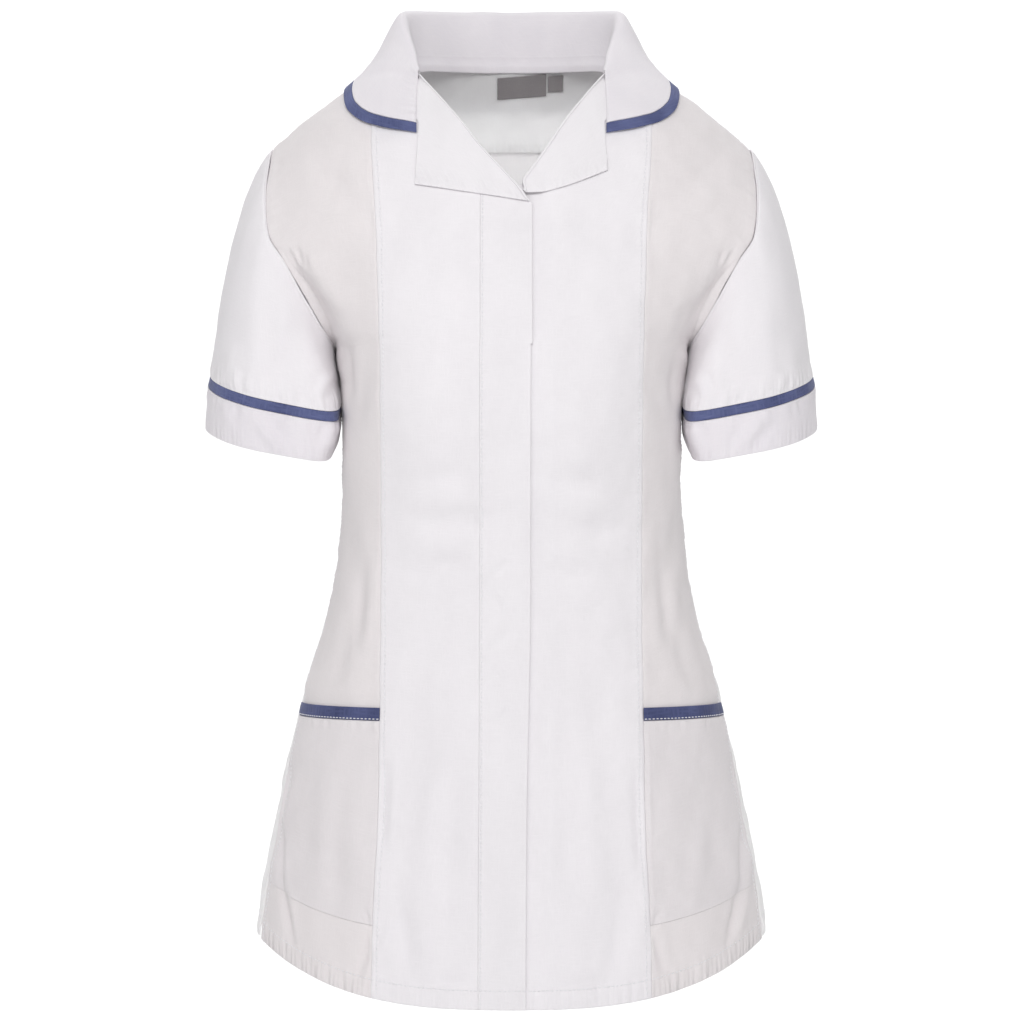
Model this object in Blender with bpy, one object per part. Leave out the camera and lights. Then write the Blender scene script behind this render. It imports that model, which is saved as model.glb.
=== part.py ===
"""A medical tunic, worn and hollow, cut and sewn as the real one is.

Every panel lies on one form, the tunic's outer face. A place on the form is a turn, in degrees from the
centre line of the front or the back towards +X, and a level: a height in millimetres up to the underarm,
and from there the way up to the shoulder seam, which is level 0. The wearer faces -Y. The origin is the
middle of the neck, level with the tops of the shoulder seams. Lengths are in millimetres until they are
placed, when MM turns them to metres.
"""
import bisect
import math
from collections import namedtuple

import bmesh
import bpy
from mathutils import Vector
from mathutils.bvhtree import BVHTree

for leftover in list(bpy.data.objects):
    bpy.data.objects.remove(leftover, do_unlink=True)

MM = 0.001

# Heights of the main lines
HEM = -700.0
UNDERARM = -222.0
HEM_RISE = 42.0
HEM_RISE_FROM = -500.0

# Shoulder line: it rises a little to the middle, then falls on a curve to the tip of the shoulder
NECK_RISE = 4.0
NECK_HALF = 70.0
FALL_FROM_X = 60.0
SHOULDER_TIP_X = 182.0
SHOULDER_TIP_DROP = 70.0
SHOULDER_FALL = 1.66

# Thickness of the cloth, single, double, applied and of the trims, and the gaps between pieces
SINGLE = 1.6
DOUBLE = 2.0
APPLIED = 1.2
TRIM = 2.2
SEAM = 0.16
SHOULDER_SEAM = 0.22
LAP_GAP = 0.4

FRONT = -1
BACK = 1

# Side seam, and the vent at its foot
SIDE_SEAM_TURN = 13.5
VENT_TOP = -625.0
VENT_OPEN = 4.0

# Where the under front drops behind the placket
DIP_FROM_X = 31.0
DIP_TO_X = 17.5
DIP_FROM_Z = -92.0
DIP_TO_Z = -102.0

# Body below the underarm: half width, depth of the centre front and of the centre back
Body = namedtuple("Body", "height half_width front back")
BODY = [
    Body(-700, 195.0, 142.0, 140.0),
    Body(-654, 192.0, 136.0, 134.0),
    Body(-617, 187.3, 131.0, 128.0),
    Body(-581, 180.0, 125.0, 122.0),
    Body(-544, 172.5, 119.0, 115.0),
    Body(-508, 164.0, 113.0, 108.0),
    Body(-471, 155.0, 108.0, 100.0),
    Body(-435, 143.3, 104.0, 93.0),
    Body(-398, 134.5, 103.0, 89.0),
    Body(-362, 130.0, 105.0, 89.0),
    Body(-316, 127.6, 112.0, 94.0),
    Body(-275, 128.0, 119.0, 99.0),
    Body(-245, 129.8, 121.0, 102.0),
    Body(-222, 134.0, 121.0, 104.0),
]

# Body above the underarm, by the way up to the shoulder: armhole x and depth, depth of the centre back
Chest = namedtuple("Chest", "way armhole_x armhole_depth back")
CHEST = [
    Chest(0.00, 134.0, 0.0, 104.0),
    Chest(0.01, 134.4, 12.0, 104.2),
    Chest(0.03, 135.6, 24.0, 104.6),
    Chest(0.06, 138.6, 37.0, 105.2),
    Chest(0.10, 143.8, 46.5, 106.0),
    Chest(0.20, 157.0, 56.5, 107.5),
    Chest(0.30, 169.0, 60.0, 108.5),
    Chest(0.40, 180.0, 57.0, 108.0),
    Chest(0.50, 182.5, 50.0, 104.0),
    Chest(0.60, 182.8, 42.0, 97.0),
    Chest(0.70, 182.0, 31.0, 88.0),
    Chest(0.80, 181.5, 20.0, 81.0),
    Chest(0.90, 181.0, 10.0, 76.0),
    Chest(1.00, 180.5, 0.0, 74.0),
]
CHEST_DEPTH = 121.0

# Rise from the underarm to the shoulder: how the way up is shared out, and how it starts
CLIMB_START = 1.78
CLIMB_SHARE = 0.75

# Back of the neck: how far it lies behind the shoulder line, and the x at which that has faded
NECK_BACK_Y = 74.0
NECK_FADE_X = 120.0
NECK_FADE = 2.2

# Bust: a soft rise on each side of the front
BUST_X = 78.0
BUST_HEIGHT = -246.0
BUST_RISE = 10.0
BUST_SPREAD_X = 36.0
BUST_SPREAD_Z = 58.0

# Seams down the front, by height: princess seam, front edge of the lapping side, seam of its placket
Down = namedtuple("Down", "height princess edge placket")
DOWN = [
    Down(-700, 101.3, 10.3, -24.0),
    Down(-650, 100.8, 10.6, -24.0),
    Down(-600, 98.4, 10.9, -23.8),
    Down(-550, 97.0, 11.4, -23.6),
    Down(-480, 96.4, 13.0, -23.4),
    Down(-400, 96.2, 14.1, -23.2),
    Down(-262, 96.2, 14.1, -23.0),
    Down(-138, 99.3, 15.4, -22.7),
    Down(-73, 103.6, 15.5, -22.7),
    Down(4, 106.0, 15.5, -22.7),
]

# Roll lines of the two revers, by height: x on the lapping front and on the front that lies under
Roll = namedtuple("Roll", "height lapping under")
ROLL = [
    Roll(-118.0, 15.4, -8.0),
    Roll(-104.2, 4.0, 4.0),
    Roll(-72.5, -24.0, 27.3),
    Roll(-58.3, -34.3, 36.4),
    Roll(-16.0, -69.2, 69.2),
]

# Neck seam of a front above the gorge, by the way up
Neckline = namedtuple("Neckline", "way x")
NECKLINE = [
    Neckline(0.769, 69.2),
    Neckline(0.83, 71.2),
    Neckline(0.90, 72.6),
    Neckline(0.95, 72.9),
    Neckline(1.0, 72.0),
]
# Ways up of the gorge, of the foot of the V, and of the place where the roll line meets the placket's seam
GORGE_WAY = 0.769
BREAK_WAY = 0.345
PLACKET_WAY = 0.482
UNDER_EDGE_X = -20.0
UNDER_EDGE_LEAVES = 0.20
PLACKET_TOP = -116.0

# Ways up to the shoulder and heights down to the hem at which every panel has a row of points
WAYS = (0, 0.01, 0.03, 0.06, 0.1, 0.15, 0.21, 0.28, 0.34, 0.4, 0.455, PLACKET_WAY, 0.53, 0.585, 0.64,
        0.7, GORGE_WAY, 0.83, 0.89, 0.95, 1)
POCKET_TOP = -494.0
POCKET_BOTTOM = -647.0
POCKET_TRIM_TOP = -484.5
HEIGHTS = (HEM, -682, POCKET_BOTTOM, -610, -570, -530, POCKET_TOP, POCKET_TRIM_TOP, -455, -420, -385,
           -350, -315, -280, -250)


def level_at(way):
    """Level of a way up from the underarm, 0, to the shoulder seam, 1."""
    return UNDERARM * (1 - way)


def way_at(level):
    return (level - UNDERARM) / -UNDERARM


LEVELS = [float(height) for height in HEIGHTS] + [level_at(way) for way in WAYS]


def smooth(low, high, value):
    """0 below low, 1 above high and a soft step between them."""
    if low > high:
        return 1 - smooth(high, low, value)
    part = min(max((value - low) / (high - low), 0.0), 1.0)
    return part * part * (3 - 2 * part)


slopes_found = {}


def read(table, column, at):
    """Read a column of a table at a value of its first column, on a curve with no overshoot."""
    key = (id(table), column)
    if key not in slopes_found:
        places = [row[0] for row in table]
        values = [getattr(row, column) for row in table]
        rises = [(values[i + 1] - values[i]) / (places[i + 1] - places[i]) for i in range(len(places) - 1)]
        slopes = [rises[0]]
        for before, after in zip(rises, rises[1:]):
            slopes.append(0.0 if before * after <= 0 else 2 * before * after / (before + after))
        slopes.append(rises[-1])
        slopes_found[key] = places, values, slopes
    places, values, slopes = slopes_found[key]
    at = min(max(at, places[0]), places[-1])
    i = min(max(bisect.bisect_right(places, at) - 1, 0), len(places) - 2)
    width = places[i + 1] - places[i]
    part = (at - places[i]) / width
    square = part * part
    cube = square * part
    return ((2 * cube - 3 * square + 1) * values[i] + (cube - 2 * square + part) * width * slopes[i]
            + (3 * square - 2 * cube) * values[i + 1] + (cube - square) * width * slopes[i + 1])


def ridge_z(x):
    """Height of the shoulder line."""
    out = abs(x)
    if out <= FALL_FROM_X:
        return NECK_RISE * (1 - (out / NECK_HALF) ** 2)
    rest = NECK_RISE * (1 - (FALL_FROM_X / NECK_HALF) ** 2) * smooth(NECK_HALF + 5, FALL_FROM_X, out)
    return rest - SHOULDER_TIP_DROP * ((out - FALL_FROM_X) / (SHOULDER_TIP_X - FALL_FROM_X)) ** SHOULDER_FALL


def ridge_y(x):
    """How far behind the shoulder line the neck draws it, which makes the back of the neck."""
    out = min(abs(x) / NECK_FADE_X, 1.0)
    return NECK_BACK_Y * (1 - out ** NECK_FADE) ** NECK_FADE


def climb(way):
    """Share of the height from the underarm to the shoulder line."""
    return math.sin(math.radians(90 * way ** CLIMB_SHARE)) ** CLIMB_START


def way_of(x, z):
    """Way up at which the front or back passes a height z at x, above the underarm."""
    share = (z - UNDERARM) / (ridge_z(x) - UNDERARM)
    share = min(max(share, 0.0), 1.0)
    return (math.degrees(math.asin(share ** (1 / CLIMB_START))) / 90) ** (1 / CLIMB_SHARE)


def chest_depth(way, side):
    """Depth of the centre front or back above the underarm, without what the neck adds."""
    if side == BACK:
        return read(CHEST, "back", way) - NECK_BACK_Y * way ** 4
    share = climb(way)
    return CHEST_DEPTH * max(1 - share ** (1.12 + 0.75 * smooth(0.45, 0, share)), 0.0) ** 0.4


def squareness(way, side):
    """Power of the section's curve: 1 is an ellipse and less is squarer."""
    return 0.68 + (0.32 if side == FRONT else 0.14) * smooth(0, 0.4, way)


def chest_section(way, side):
    """Depth, whole half width, power and last angle of a section that the armhole cuts."""
    depth = chest_depth(way, side)
    power = squareness(way, side)
    low = min(way, 0.96)
    ratio = read(CHEST, "armhole_depth", low) / chest_depth(low, side)
    last = math.acos(ratio ** (1 / power))
    return depth, read(CHEST, "armhole_x", way) / math.sin(last), power, last


def turn_at(x, level, side=FRONT):
    """Turn of the point at x on a level."""
    if level > UNDERARM:
        _, wide, _, last = chest_section(way_at(level), side)
        turn = 90 * math.asin(max(-1.0, min(1.0, x / wide))) / last
        return max(-90.0, min(90.0, turn))
    turn = 0.0
    for _ in range(3):
        wide = read(BODY, "half_width", hung_height(turn, level))
        turn = math.asin(max(-1.0, min(1.0, x / wide)))
    return math.degrees(turn)


def hung_height(angle, level):
    """Height of a point of a level below the underarm, where the hem rises towards the sides."""
    drop = min(max((HEM_RISE_FROM - level) / (HEM_RISE_FROM - HEM), 0.0), 1.0)
    return level + HEM_RISE * abs(math.sin(angle)) ** 3 * drop


def form(turn, level, side):
    """A point of the tunic's outer face."""
    if abs(turn) > 90:
        turn = math.copysign(180 - abs(turn), turn)
        side = -side
    if level <= UNDERARM:
        angle = math.radians(turn)
        inward = max(math.cos(angle), 0.0)
        z = hung_height(angle, level)
        x = read(BODY, "half_width", z) * math.sin(angle)
        depth = read(BODY, "front" if side == FRONT else "back", z)
        power = 0.78 - 0.1 * smooth(-420, -250, z) + 0.07 * smooth(-420, -640, z)
        y = side * depth * inward ** power
    else:
        way = way_at(level)
        depth, wide, power, last = chest_section(way, side)
        angle = last * turn / 90
        inward = max(math.cos(angle), 0.0)
        x = wide * math.sin(angle)
        z = UNDERARM + (ridge_z(x) - UNDERARM) * climb(way)
        y = side * depth * inward ** power + ridge_y(x) * way ** (6 if side == FRONT else 4)
    if side == FRONT:
        away = ((abs(x) - BUST_X) / BUST_SPREAD_X) ** 2 + ((z - BUST_HEIGHT) / BUST_SPREAD_Z) ** 2
        y -= BUST_RISE * math.exp(-away) * smooth(0, 0.25, inward)
    return Vector((x, y, z))


def outward(turn, level, side):
    """Unit normal of the form, away from the wearer."""
    if abs(turn) > 90:
        turn = math.copysign(180 - abs(turn), turn)
        side = -side
    reach = 90.0 if level > UNDERARM - 2 else 120.0
    left = form(max(turn - 1.5, -reach), level, side)
    right = form(min(turn + 1.5, reach), level, side)
    below = form(turn, max(level - 1.5, HEM), side)
    above = form(turn, min(level + 1.5, 0.0), side)
    return -side * (right - left).cross(above - below).normalized()


def cloth_point(turn, level, side, lift=0.0):
    """A point of the form, moved out by lift."""
    return form(turn, level, side) + outward(turn, level, side) * lift


def inset(turn, level, side, gap):
    """A turn moved by gap along the cloth, so that two panels stay apart at their seam."""
    step = form(turn + 0.5, level, side) - form(turn - 0.5, level, side)
    return turn + gap / max(step.length, 0.3)


def paint(name, red, green, blue, roughness):
    """A plain cloth of the colour given as sRGB parts of 255."""
    cloth = bpy.data.materials.new(name)
    cloth.use_nodes = True
    shader = cloth.node_tree.nodes["Principled BSDF"]
    linear = [((part / 255 + 0.055) / 1.055) ** 2.4 for part in (red, green, blue)]
    shader.inputs["Base Color"].default_value = (*linear, 1)
    shader.inputs["Roughness"].default_value = roughness
    shader.inputs["Metallic"].default_value = 0
    return cloth


def slab(columns, rows, tube):
    """A flat slab one unit wide and long. Its top is at z 0 and its underside at z -1."""
    mesh = bmesh.new()
    bmesh.ops.create_grid(mesh, x_segments=columns, y_segments=rows, size=0.5)
    bmesh.ops.translate(mesh, verts=mesh.verts[:], vec=(0.5, 0.5, 0))
    copied = bmesh.ops.extrude_face_region(mesh, geom=mesh.faces[:])
    under = [part for part in copied["geom"] if isinstance(part, bmesh.types.BMVert)]
    bmesh.ops.translate(mesh, verts=under, vec=(0, 0, -1))
    if tube:
        ends = [face for face in mesh.faces
                if max(abs(vert.co.x - face.verts[0].co.x) for vert in face.verts) < 1e-4
                and min(face.verts[0].co.x, 1 - face.verts[0].co.x) < 1e-4]
        bmesh.ops.delete(mesh, geom=ends, context="FACES_ONLY")
    return mesh


def make_wall(name, columns, rows, place, cloth, tube=False):
    """A wall of cloth. place(across, along, depth) gives its points, with depth 0 outside and 1 inside."""
    mesh = slab(columns, rows, tube)
    for vert in mesh.verts:
        across, along, depth = vert.co
        vert.co = place(round(across * columns), round(along * rows), -depth) * MM
    if tube:
        bmesh.ops.remove_doubles(mesh, verts=mesh.verts[:], dist=1e-7)
    bmesh.ops.recalc_face_normals(mesh, faces=mesh.faces[:])
    if mesh.calc_volume(signed=True) < 0:
        bmesh.ops.reverse_faces(mesh, faces=mesh.faces[:])
    data = bpy.data.meshes.new(name)
    mesh.to_mesh(data)
    mesh.free()
    data.materials.append(cloth)
    data.shade_smooth()
    data.set_sharp_from_angle(angle=math.radians(50))
    made = bpy.data.objects.new(name, data)
    bpy.context.scene.collection.objects.link(made)
    return made


def make_front(name, levels, start, end, columns, thickness=SINGLE, lift=None, spread=None):
    """A piece of the front between two edges, each a turn that depends on the level."""
    edges = [(inset(start(level), level, FRONT, SEAM), inset(end(level), level, FRONT, -SEAM))
             for level in levels]

    def place(column, row, depth):
        level = levels[row]
        low, high = edges[row]
        turn = low + (high - low) * column / columns if spread is None else spread(column, level, low, high)
        if row == len(levels) - 1:
            level -= SHOULDER_SEAM
        raised = lift(turn, level) if lift else 0.0
        return cloth_point(turn, level, FRONT, raised - thickness * depth)

    return make_wall(name, columns, len(levels) - 1, place, white)


def side_seam(level):
    """Turn of the side seam on +X, which comes forward towards the hem. Above it lies the armhole."""
    return 90.0 - SIDE_SEAM_TURN * smooth(-330, -640, level)


def vent(level):
    """How far each side of the side seam's vent stands open, which it does a little at the hem."""
    return VENT_OPEN * smooth(VENT_TOP, HEM, level) ** 2


def front_side_edge(level):
    """Side edge of a side front."""
    return inset(side_seam(level), level, FRONT, -SEAM - vent(level)) if level <= UNDERARM else 90.0


def back_side_edge(level):
    """Side edge of the back, measured from the centre back."""
    return 180 - inset(side_seam(level), level, FRONT, SEAM + vent(level)) if level <= UNDERARM else 90.0


def princess(level):
    """Turn of the princess seam on +X."""
    if level <= UNDERARM:
        return turn_at(read(DOWN, "princess", level), level)
    height = UNDERARM + (ridge_z(DOWN[-1].princess) - UNDERARM) * climb(way_at(level))
    return turn_at(read(DOWN, "princess", height), level)


def roll_x(way, column):
    """x of a front's roll line, or of its neck seam above the gorge."""
    if way >= GORGE_WAY:
        return read(NECKLINE, "x", way) * (1 if column == "under" else -1)
    x = ROLL[2].under
    for _ in range(3):
        x = read(ROLL, column, UNDERARM + (ridge_z(x) - UNDERARM) * climb(way))
    return x


def lapping_edge(level):
    """x of the free edge of the lapping front."""
    edge = read(DOWN, "edge", level if level <= UNDERARM else PLACKET_TOP)
    return edge if level <= level_at(BREAK_WAY) else min(edge, roll_x(way_at(level), "lapping"))


def placket_x(level):
    """x of the seam between the lapping front and its placket."""
    return read(DOWN, "placket", level if level <= UNDERARM else PLACKET_TOP)


def under_edge(level):
    """x of the free edge of the front that lies under: the roll line, cut away below the V."""
    way = way_at(level)
    if way >= BREAK_WAY:
        return roll_x(way, "under")
    reach = roll_x(BREAK_WAY, "under") - UNDER_EDGE_X
    return UNDER_EDGE_X + reach * smooth(UNDER_EDGE_LEAVES, BREAK_WAY, way)


def dip(turn, level):
    """The under front drops behind the placket where the two lap."""
    point = form(turn, level, FRONT)
    depth = DOUBLE + LAP_GAP
    return -depth * smooth(DIP_FROM_X, DIP_TO_X, point.x) * smooth(DIP_FROM_Z, DIP_TO_Z, point.z)


white = paint("white cotton", 238, 236, 239, 0.75)
white_side = paint("white cotton, single", 229, 226, 228, 0.78)
navy = paint("navy twill tape", 80, 86, 126, 0.7)
grey = paint("grey woven label", 140, 135, 136, 0.6)

# Centre fronts and the placket. The wearer's right is on -X
PLACKET_LEVELS = [level for level in LEVELS if level < level_at(PLACKET_WAY)]
PLACKET_LEVELS.append(level_at(PLACKET_WAY - 0.006))
FRONT_COLUMNS = 7
PLACKET_COLUMNS = 4
FLAT_COLUMNS = 4
DIP_COLUMNS = 5


def right_inner(level):
    return turn_at(min(placket_x(level), lapping_edge(level)), level)


def left_inner(level):
    return turn_at(under_edge(level), level)


def spread_under(column, level, low, high):
    """Columns of the under front, close together where it drops behind the placket."""
    inner = max(turn_at(DIP_FROM_X + 2, level), low + 1.2)
    if column <= DIP_COLUMNS:
        return low + (inner - low) * column / DIP_COLUMNS
    return inner + (high - inner) * (column - DIP_COLUMNS) / FLAT_COLUMNS


make_front("front_right", LEVELS, lambda level: -princess(level), right_inner, FRONT_COLUMNS)
make_front("placket", PLACKET_LEVELS, lambda level: turn_at(placket_x(level), level),
           lambda level: turn_at(lapping_edge(level), level), PLACKET_COLUMNS, thickness=DOUBLE)
make_front("front_left", LEVELS, left_inner, princess, DIP_COLUMNS + FLAT_COLUMNS,
           lift=dip, spread=spread_under)

# Side fronts
SIDE_COLUMNS = 8


def side_place(sign, column, level):
    """Turn of a column of a side front, counted from its princess seam."""
    near = inset(princess(level), level, FRONT, SEAM)
    far = front_side_edge(level)
    return sign * (near + (far - near) * column / SIDE_COLUMNS)


def make_side_front(name, sign):
    def place(column, row, depth):
        level = LEVELS[row] - (SHOULDER_SEAM if row == len(LEVELS) - 1 else 0)
        turn = side_place(sign, column if sign > 0 else SIDE_COLUMNS - column, LEVELS[row])
        return cloth_point(turn, level, FRONT, -SINGLE * depth)

    return make_wall(name, SIDE_COLUMNS, len(LEVELS) - 1, place, white_side)


make_side_front("side_front_right", -1)
make_side_front("side_front_left", 1)

# Back yoke and back
YOKE_COLUMNS = (0, 14, 28, 42, 55, 65, 72, 86, 104, 124, 145, 164, 180.5)
YOKE_DROP = 62.0
YOKE_DROP_SIDES = 24.0
PLEAT_COLUMNS = (0, 9, 18.5, 22)
PLEAT_RISE = 2.2
PLEAT_FADES_FROM = -150.0
PLEAT_FADES_TO = -330.0
BACK_HALF = 13
BACK_SEAM_FROM = 0.35


def yoke_seam_way(x):
    """Way up of the seam between the back and its yoke."""
    return way_of(x, -YOKE_DROP - YOKE_DROP_SIDES * (x / SHOULDER_TIP_X) ** 2)


def seam_way(place_x):
    """Way up of the yoke seam on a line of points whose x depends on the way."""
    way = 0.5
    for _ in range(5):
        way = yoke_seam_way(place_x(way))
    return way


def shared_ways(low, high):
    """The panels' ways up between two ways, as shares of the way from one to the other."""
    ways = [way for way in WAYS if low + 0.01 < way < high - 0.01 and way != PLACKET_WAY]
    return [(way - low) / (high - low) for way in ways] + [1.0]


YOKE_AT_ARMHOLE = yoke_seam_way(SHOULDER_TIP_X)
YOKE_SHARES = [0.0] + shared_ways(YOKE_AT_ARMHOLE, 1.0)
BACK_SHARES = shared_ways(BACK_SEAM_FROM, YOKE_AT_ARMHOLE)


def make_yoke():
    half = len(YOKE_COLUMNS) - 1
    rows = len(YOKE_SHARES) - 1

    def place_x(column, way):
        share = YOKE_COLUMNS[abs(column - half)] / YOKE_COLUMNS[-1]
        return math.copysign(share * read(CHEST, "armhole_x", way), column - half)

    lows = [seam_way(lambda way: place_x(column, way)) for column in range(2 * half + 1)]

    def place(column, row, depth):
        way = lows[column] + (1 - lows[column]) * YOKE_SHARES[row]
        level = level_at(way)
        turn = turn_at(place_x(column, way), level, BACK)
        level += (SHOULDER_SEAM if row == 0 else 0) - (SHOULDER_SEAM if row == rows else 0)
        return cloth_point(turn, level, BACK, -DOUBLE * depth)

    return make_wall("back_yoke", 2 * half, rows, place, white)


def pleat(x, level):
    """Rise of the box pleat in the centre back, pressed open towards the waist."""
    return (PLEAT_RISE * smooth(PLEAT_COLUMNS[3], PLEAT_COLUMNS[2], abs(x))
            * smooth(PLEAT_FADES_TO, PLEAT_FADES_FROM, level))


def back_turn(column, level):
    """Turn of a column of the back: the pleat's own columns, then even steps to the side."""
    count = abs(column - BACK_HALF)
    if count < len(PLEAT_COLUMNS):
        turn = turn_at(PLEAT_COLUMNS[count], level, BACK)
    else:
        inner = turn_at(PLEAT_COLUMNS[-1], level, BACK)
        steps = BACK_HALF - len(PLEAT_COLUMNS) + 1
        turn = inner + (back_side_edge(level) - inner) * (count - len(PLEAT_COLUMNS) + 1) / steps
    return math.copysign(turn, column - BACK_HALF)


def make_back():
    levels = [level for level in LEVELS if level <= level_at(BACK_SEAM_FROM)]
    rows = len(levels) - 1 + len(BACK_SHARES)
    tops = [seam_way(lambda way: form(back_turn(column, level_at(way)), level_at(way), BACK).x)
            for column in range(2 * BACK_HALF + 1)]

    def place(column, row, depth):
        if row < len(levels):
            level = levels[row]
        else:
            share = BACK_SHARES[row - len(levels)]
            level = level_at(BACK_SEAM_FROM + (tops[column] - BACK_SEAM_FROM) * share)
        turn = back_turn(column, level)
        level -= SHOULDER_SEAM if row == rows else 0
        raised = pleat(form(turn, level, BACK).x, level)
        return cloth_point(turn, level, BACK, raised - SINGLE * depth)

    return make_wall("back", 2 * BACK_HALF, rows, place, white)


make_yoke()
make_back()

# Sleeves: rings of points from the armhole to the cuff
Ring = namedtuple("Ring", "outer_x outer_z inner_x inner_z half_depth")
TRIM_TOP = Ring(227.0, -241.0, 129.6, -263.0, 63.0)
TRIM_BOTTOM = Ring(228.6, -249.0, 130.4, -270.6, 62.6)
CUFF_BOTTOM = Ring(230.6, -283.0, 136.4, -300.5, 59.0)
RING_TILT = 0.155
SLEEVE_ROWS = 9
CUFF_ROWS = 2


def armhole_points():
    """Points of the armhole on +X: under the arm, up the front, over the shoulder and down the back."""
    ways = list(WAYS)
    points = []
    for side, order in ((FRONT, ways), (BACK, ways[::-1][1:-1])):
        for way in order:
            level = level_at(way)
            points.append((form(90, level, side), outward(90, level, side), side))
    return points


ARMHOLE = armhole_points()


def armhole_angles():
    """How far round the sleeve each armhole point lies: 0 under the arm, 180 on the shoulder."""
    count = len(ARMHOLE)
    lengths = [(ARMHOLE[(i + 1) % count][0] - ARMHOLE[i][0]).length for i in range(count)]
    top = len(WAYS) - 1
    front_length = sum(lengths[:top])
    back_length = sum(lengths[top:])
    angles = []
    walked = 0.0
    for i in range(count):
        if i <= top:
            angles.append(180 * walked / front_length)
        else:
            angles.append(180 + 180 * (walked - front_length) / back_length)
        walked += lengths[i]
    return angles


ANGLES = armhole_angles()


def ring_point(ring, angle):
    """A point of a ring of the sleeve on +X, 0 next to the body, 90 at the front, 180 outside."""
    middle = Vector(((ring.outer_x + ring.inner_x) / 2, 0, (ring.outer_z + ring.inner_z) / 2))
    across = Vector(((ring.outer_x - ring.inner_x) / 2, 0, (ring.outer_z - ring.inner_z) / 2))
    y = -ring.half_depth * math.sin(math.radians(angle))
    return middle - across * math.cos(math.radians(angle)) + Vector((0, y, RING_TILT * y))


def sleeve_point(index, part):
    """A point of the sleeve on +X, part of the way from the armhole to its trim."""
    index = index % len(ARMHOLE)
    seam, normal, side = ARMHOLE[index]
    angle = ANGLES[index]
    high = (1 - math.cos(math.radians(angle))) / 2
    ahead = -math.sin(math.radians(angle))
    leave = Vector((0.57 * high + 0.05, 0.10 * ahead, -1 + 0.22 * high)).normalized()
    start = seam + (normal * (1 - high) + leave * high).normalized() * 0.5
    end = ring_point(TRIM_TOP, angle)
    reach = (end - start).length
    arrive = Vector((0.16 * high - 0.03, 0.0, -1)).normalized()
    square = part * part
    cube = square * part
    return (start * (2 * cube - 3 * square + 1) + end * (3 * square - 2 * cube)
            + leave * reach * 0.80 * (cube - 2 * square + part) + arrive * reach * 0.95 * (cube - square))


def tube_normal(point_at, index, part):
    """Outward normal of a sleeve or cuff on +X at a column and a part of its length."""
    low, high = max(part - 0.02, 0.0), min(part + 0.02, 1.0)
    along = point_at(index, high) - point_at(index, low)
    around = point_at(index + 1, part) - point_at(index - 1, part)
    return along.cross(around).normalized()


def make_tube(name, sign, point_at, rows, low_gap, high_gap, thickness, proud, cloth):
    """A tube of the sleeve on either side. Its ends keep clear of what they are sewn to."""
    count = len(ARMHOLE)

    def place(column, row, depth):
        part = row / rows
        point = point_at(column, part)
        if row == 0:
            point = point + (point_at(column, part + 0.1) - point).normalized() * low_gap
        if row == rows:
            point = point - (point - point_at(column, part - 0.1)).normalized() * high_gap
        point = point + tube_normal(point_at, column, part) * (proud - thickness * depth)
        return Vector((sign * point.x, point.y, point.z))

    return make_wall(name, count, rows, place, cloth, tube=True)


def between(first, last):
    """Points on straight lines between two rings."""
    def point_at(index, part):
        angle = ANGLES[index % len(ARMHOLE)]
        return ring_point(first, angle).lerp(ring_point(last, angle), part)
    return point_at


for word, sign in (("right", -1), ("left", 1)):
    make_tube("sleeve_" + word, sign, sleeve_point, SLEEVE_ROWS, 0, SEAM, SINGLE, 0.0, white_side)
    make_tube("sleeve_trim_" + word, sign, between(TRIM_TOP, TRIM_BOTTOM), 1, SEAM, SEAM, TRIM, 0.5, navy)
    make_tube("cuff_" + word, sign, between(TRIM_BOTTOM, CUFF_BOTTOM), CUFF_ROWS, SEAM, 0, DOUBLE, 0.2, white)

# Collar: seam, fold and leaf edge from the centre back to the gorge
Collar = namedtuple("Collar", "station seam_x seam_way fold_x fold_y fold_z edge_x edge_y edge_z")
COLLAR = [
    Collar(0.00, 0.0, 1.0, 0.0, 80.0, 48.0, 0.0, 98.0, -24.0),
    Collar(0.18, 28.0, 1.0, 31.0, 76.0, 48.0, 42.0, 94.0, -24.0),
    Collar(0.34, 50.0, 1.0, 57.0, 62.0, 48.0, 80.0, 77.0, -23.0),
    Collar(0.48, 65.0, 1.0, 73.5, 43.0, 45.5, 103.0, 51.0, -21.0),
    Collar(0.58, 72.0, 1.0, 80.5, 26.0, 39.0, 114.5, 27.0, -19.0),
    Collar(0.68, 72.9, 0.95, 81.0, 8.0, 26.0, 120.5, 4.0, -19.0),
    Collar(0.76, 72.6, 0.90, 77.5, -7.0, 12.0, 123.5, -15.0, -28.0),
    Collar(0.84, 71.2, 0.83, 73.2, -23.0, -2.0, 119.0, -36.0, -43.0),
    Collar(0.90, 70.5, 0.80, 71.5, -31.0, -8.5, 110.5, -50.0, -52.5),
    Collar(0.95, 70.0, 0.785, 70.3, -36.0, -12.0, 92.0, -62.0, -60.0),
    Collar(1.00, 69.9, 0.769, 69.9, -39.0, -13.5, 69.9, -73.0, -63.4),
]
COLLAR_HALF = 22
COLLAR_THICK = 1.8
COLLAR_TRIM_WIDTH = 7.6
LEAF_CLEAR = 2.3


def rest_surface():
    """The upper body as one surface, for the collar to lie on."""
    tree_points = []
    faces = []
    across, along = 48, 34
    for side in (FRONT, BACK):
        first = len(tree_points)
        for row in range(along + 1):
            level = level_at(0.3 + 0.7 * row / along)
            for column in range(across + 1):
                tree_points.append(form(-90 + 180 * column / across, level, side))
        for row in range(along):
            for column in range(across):
                corner = first + row * (across + 1) + column
                ring = (corner, corner + 1, corner + across + 2, corner + across + 1)
                faces.append(ring if side == FRONT else ring[::-1])
    return BVHTree.FromPolygons(tree_points, faces)


RESTS_ON = rest_surface()


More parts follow.
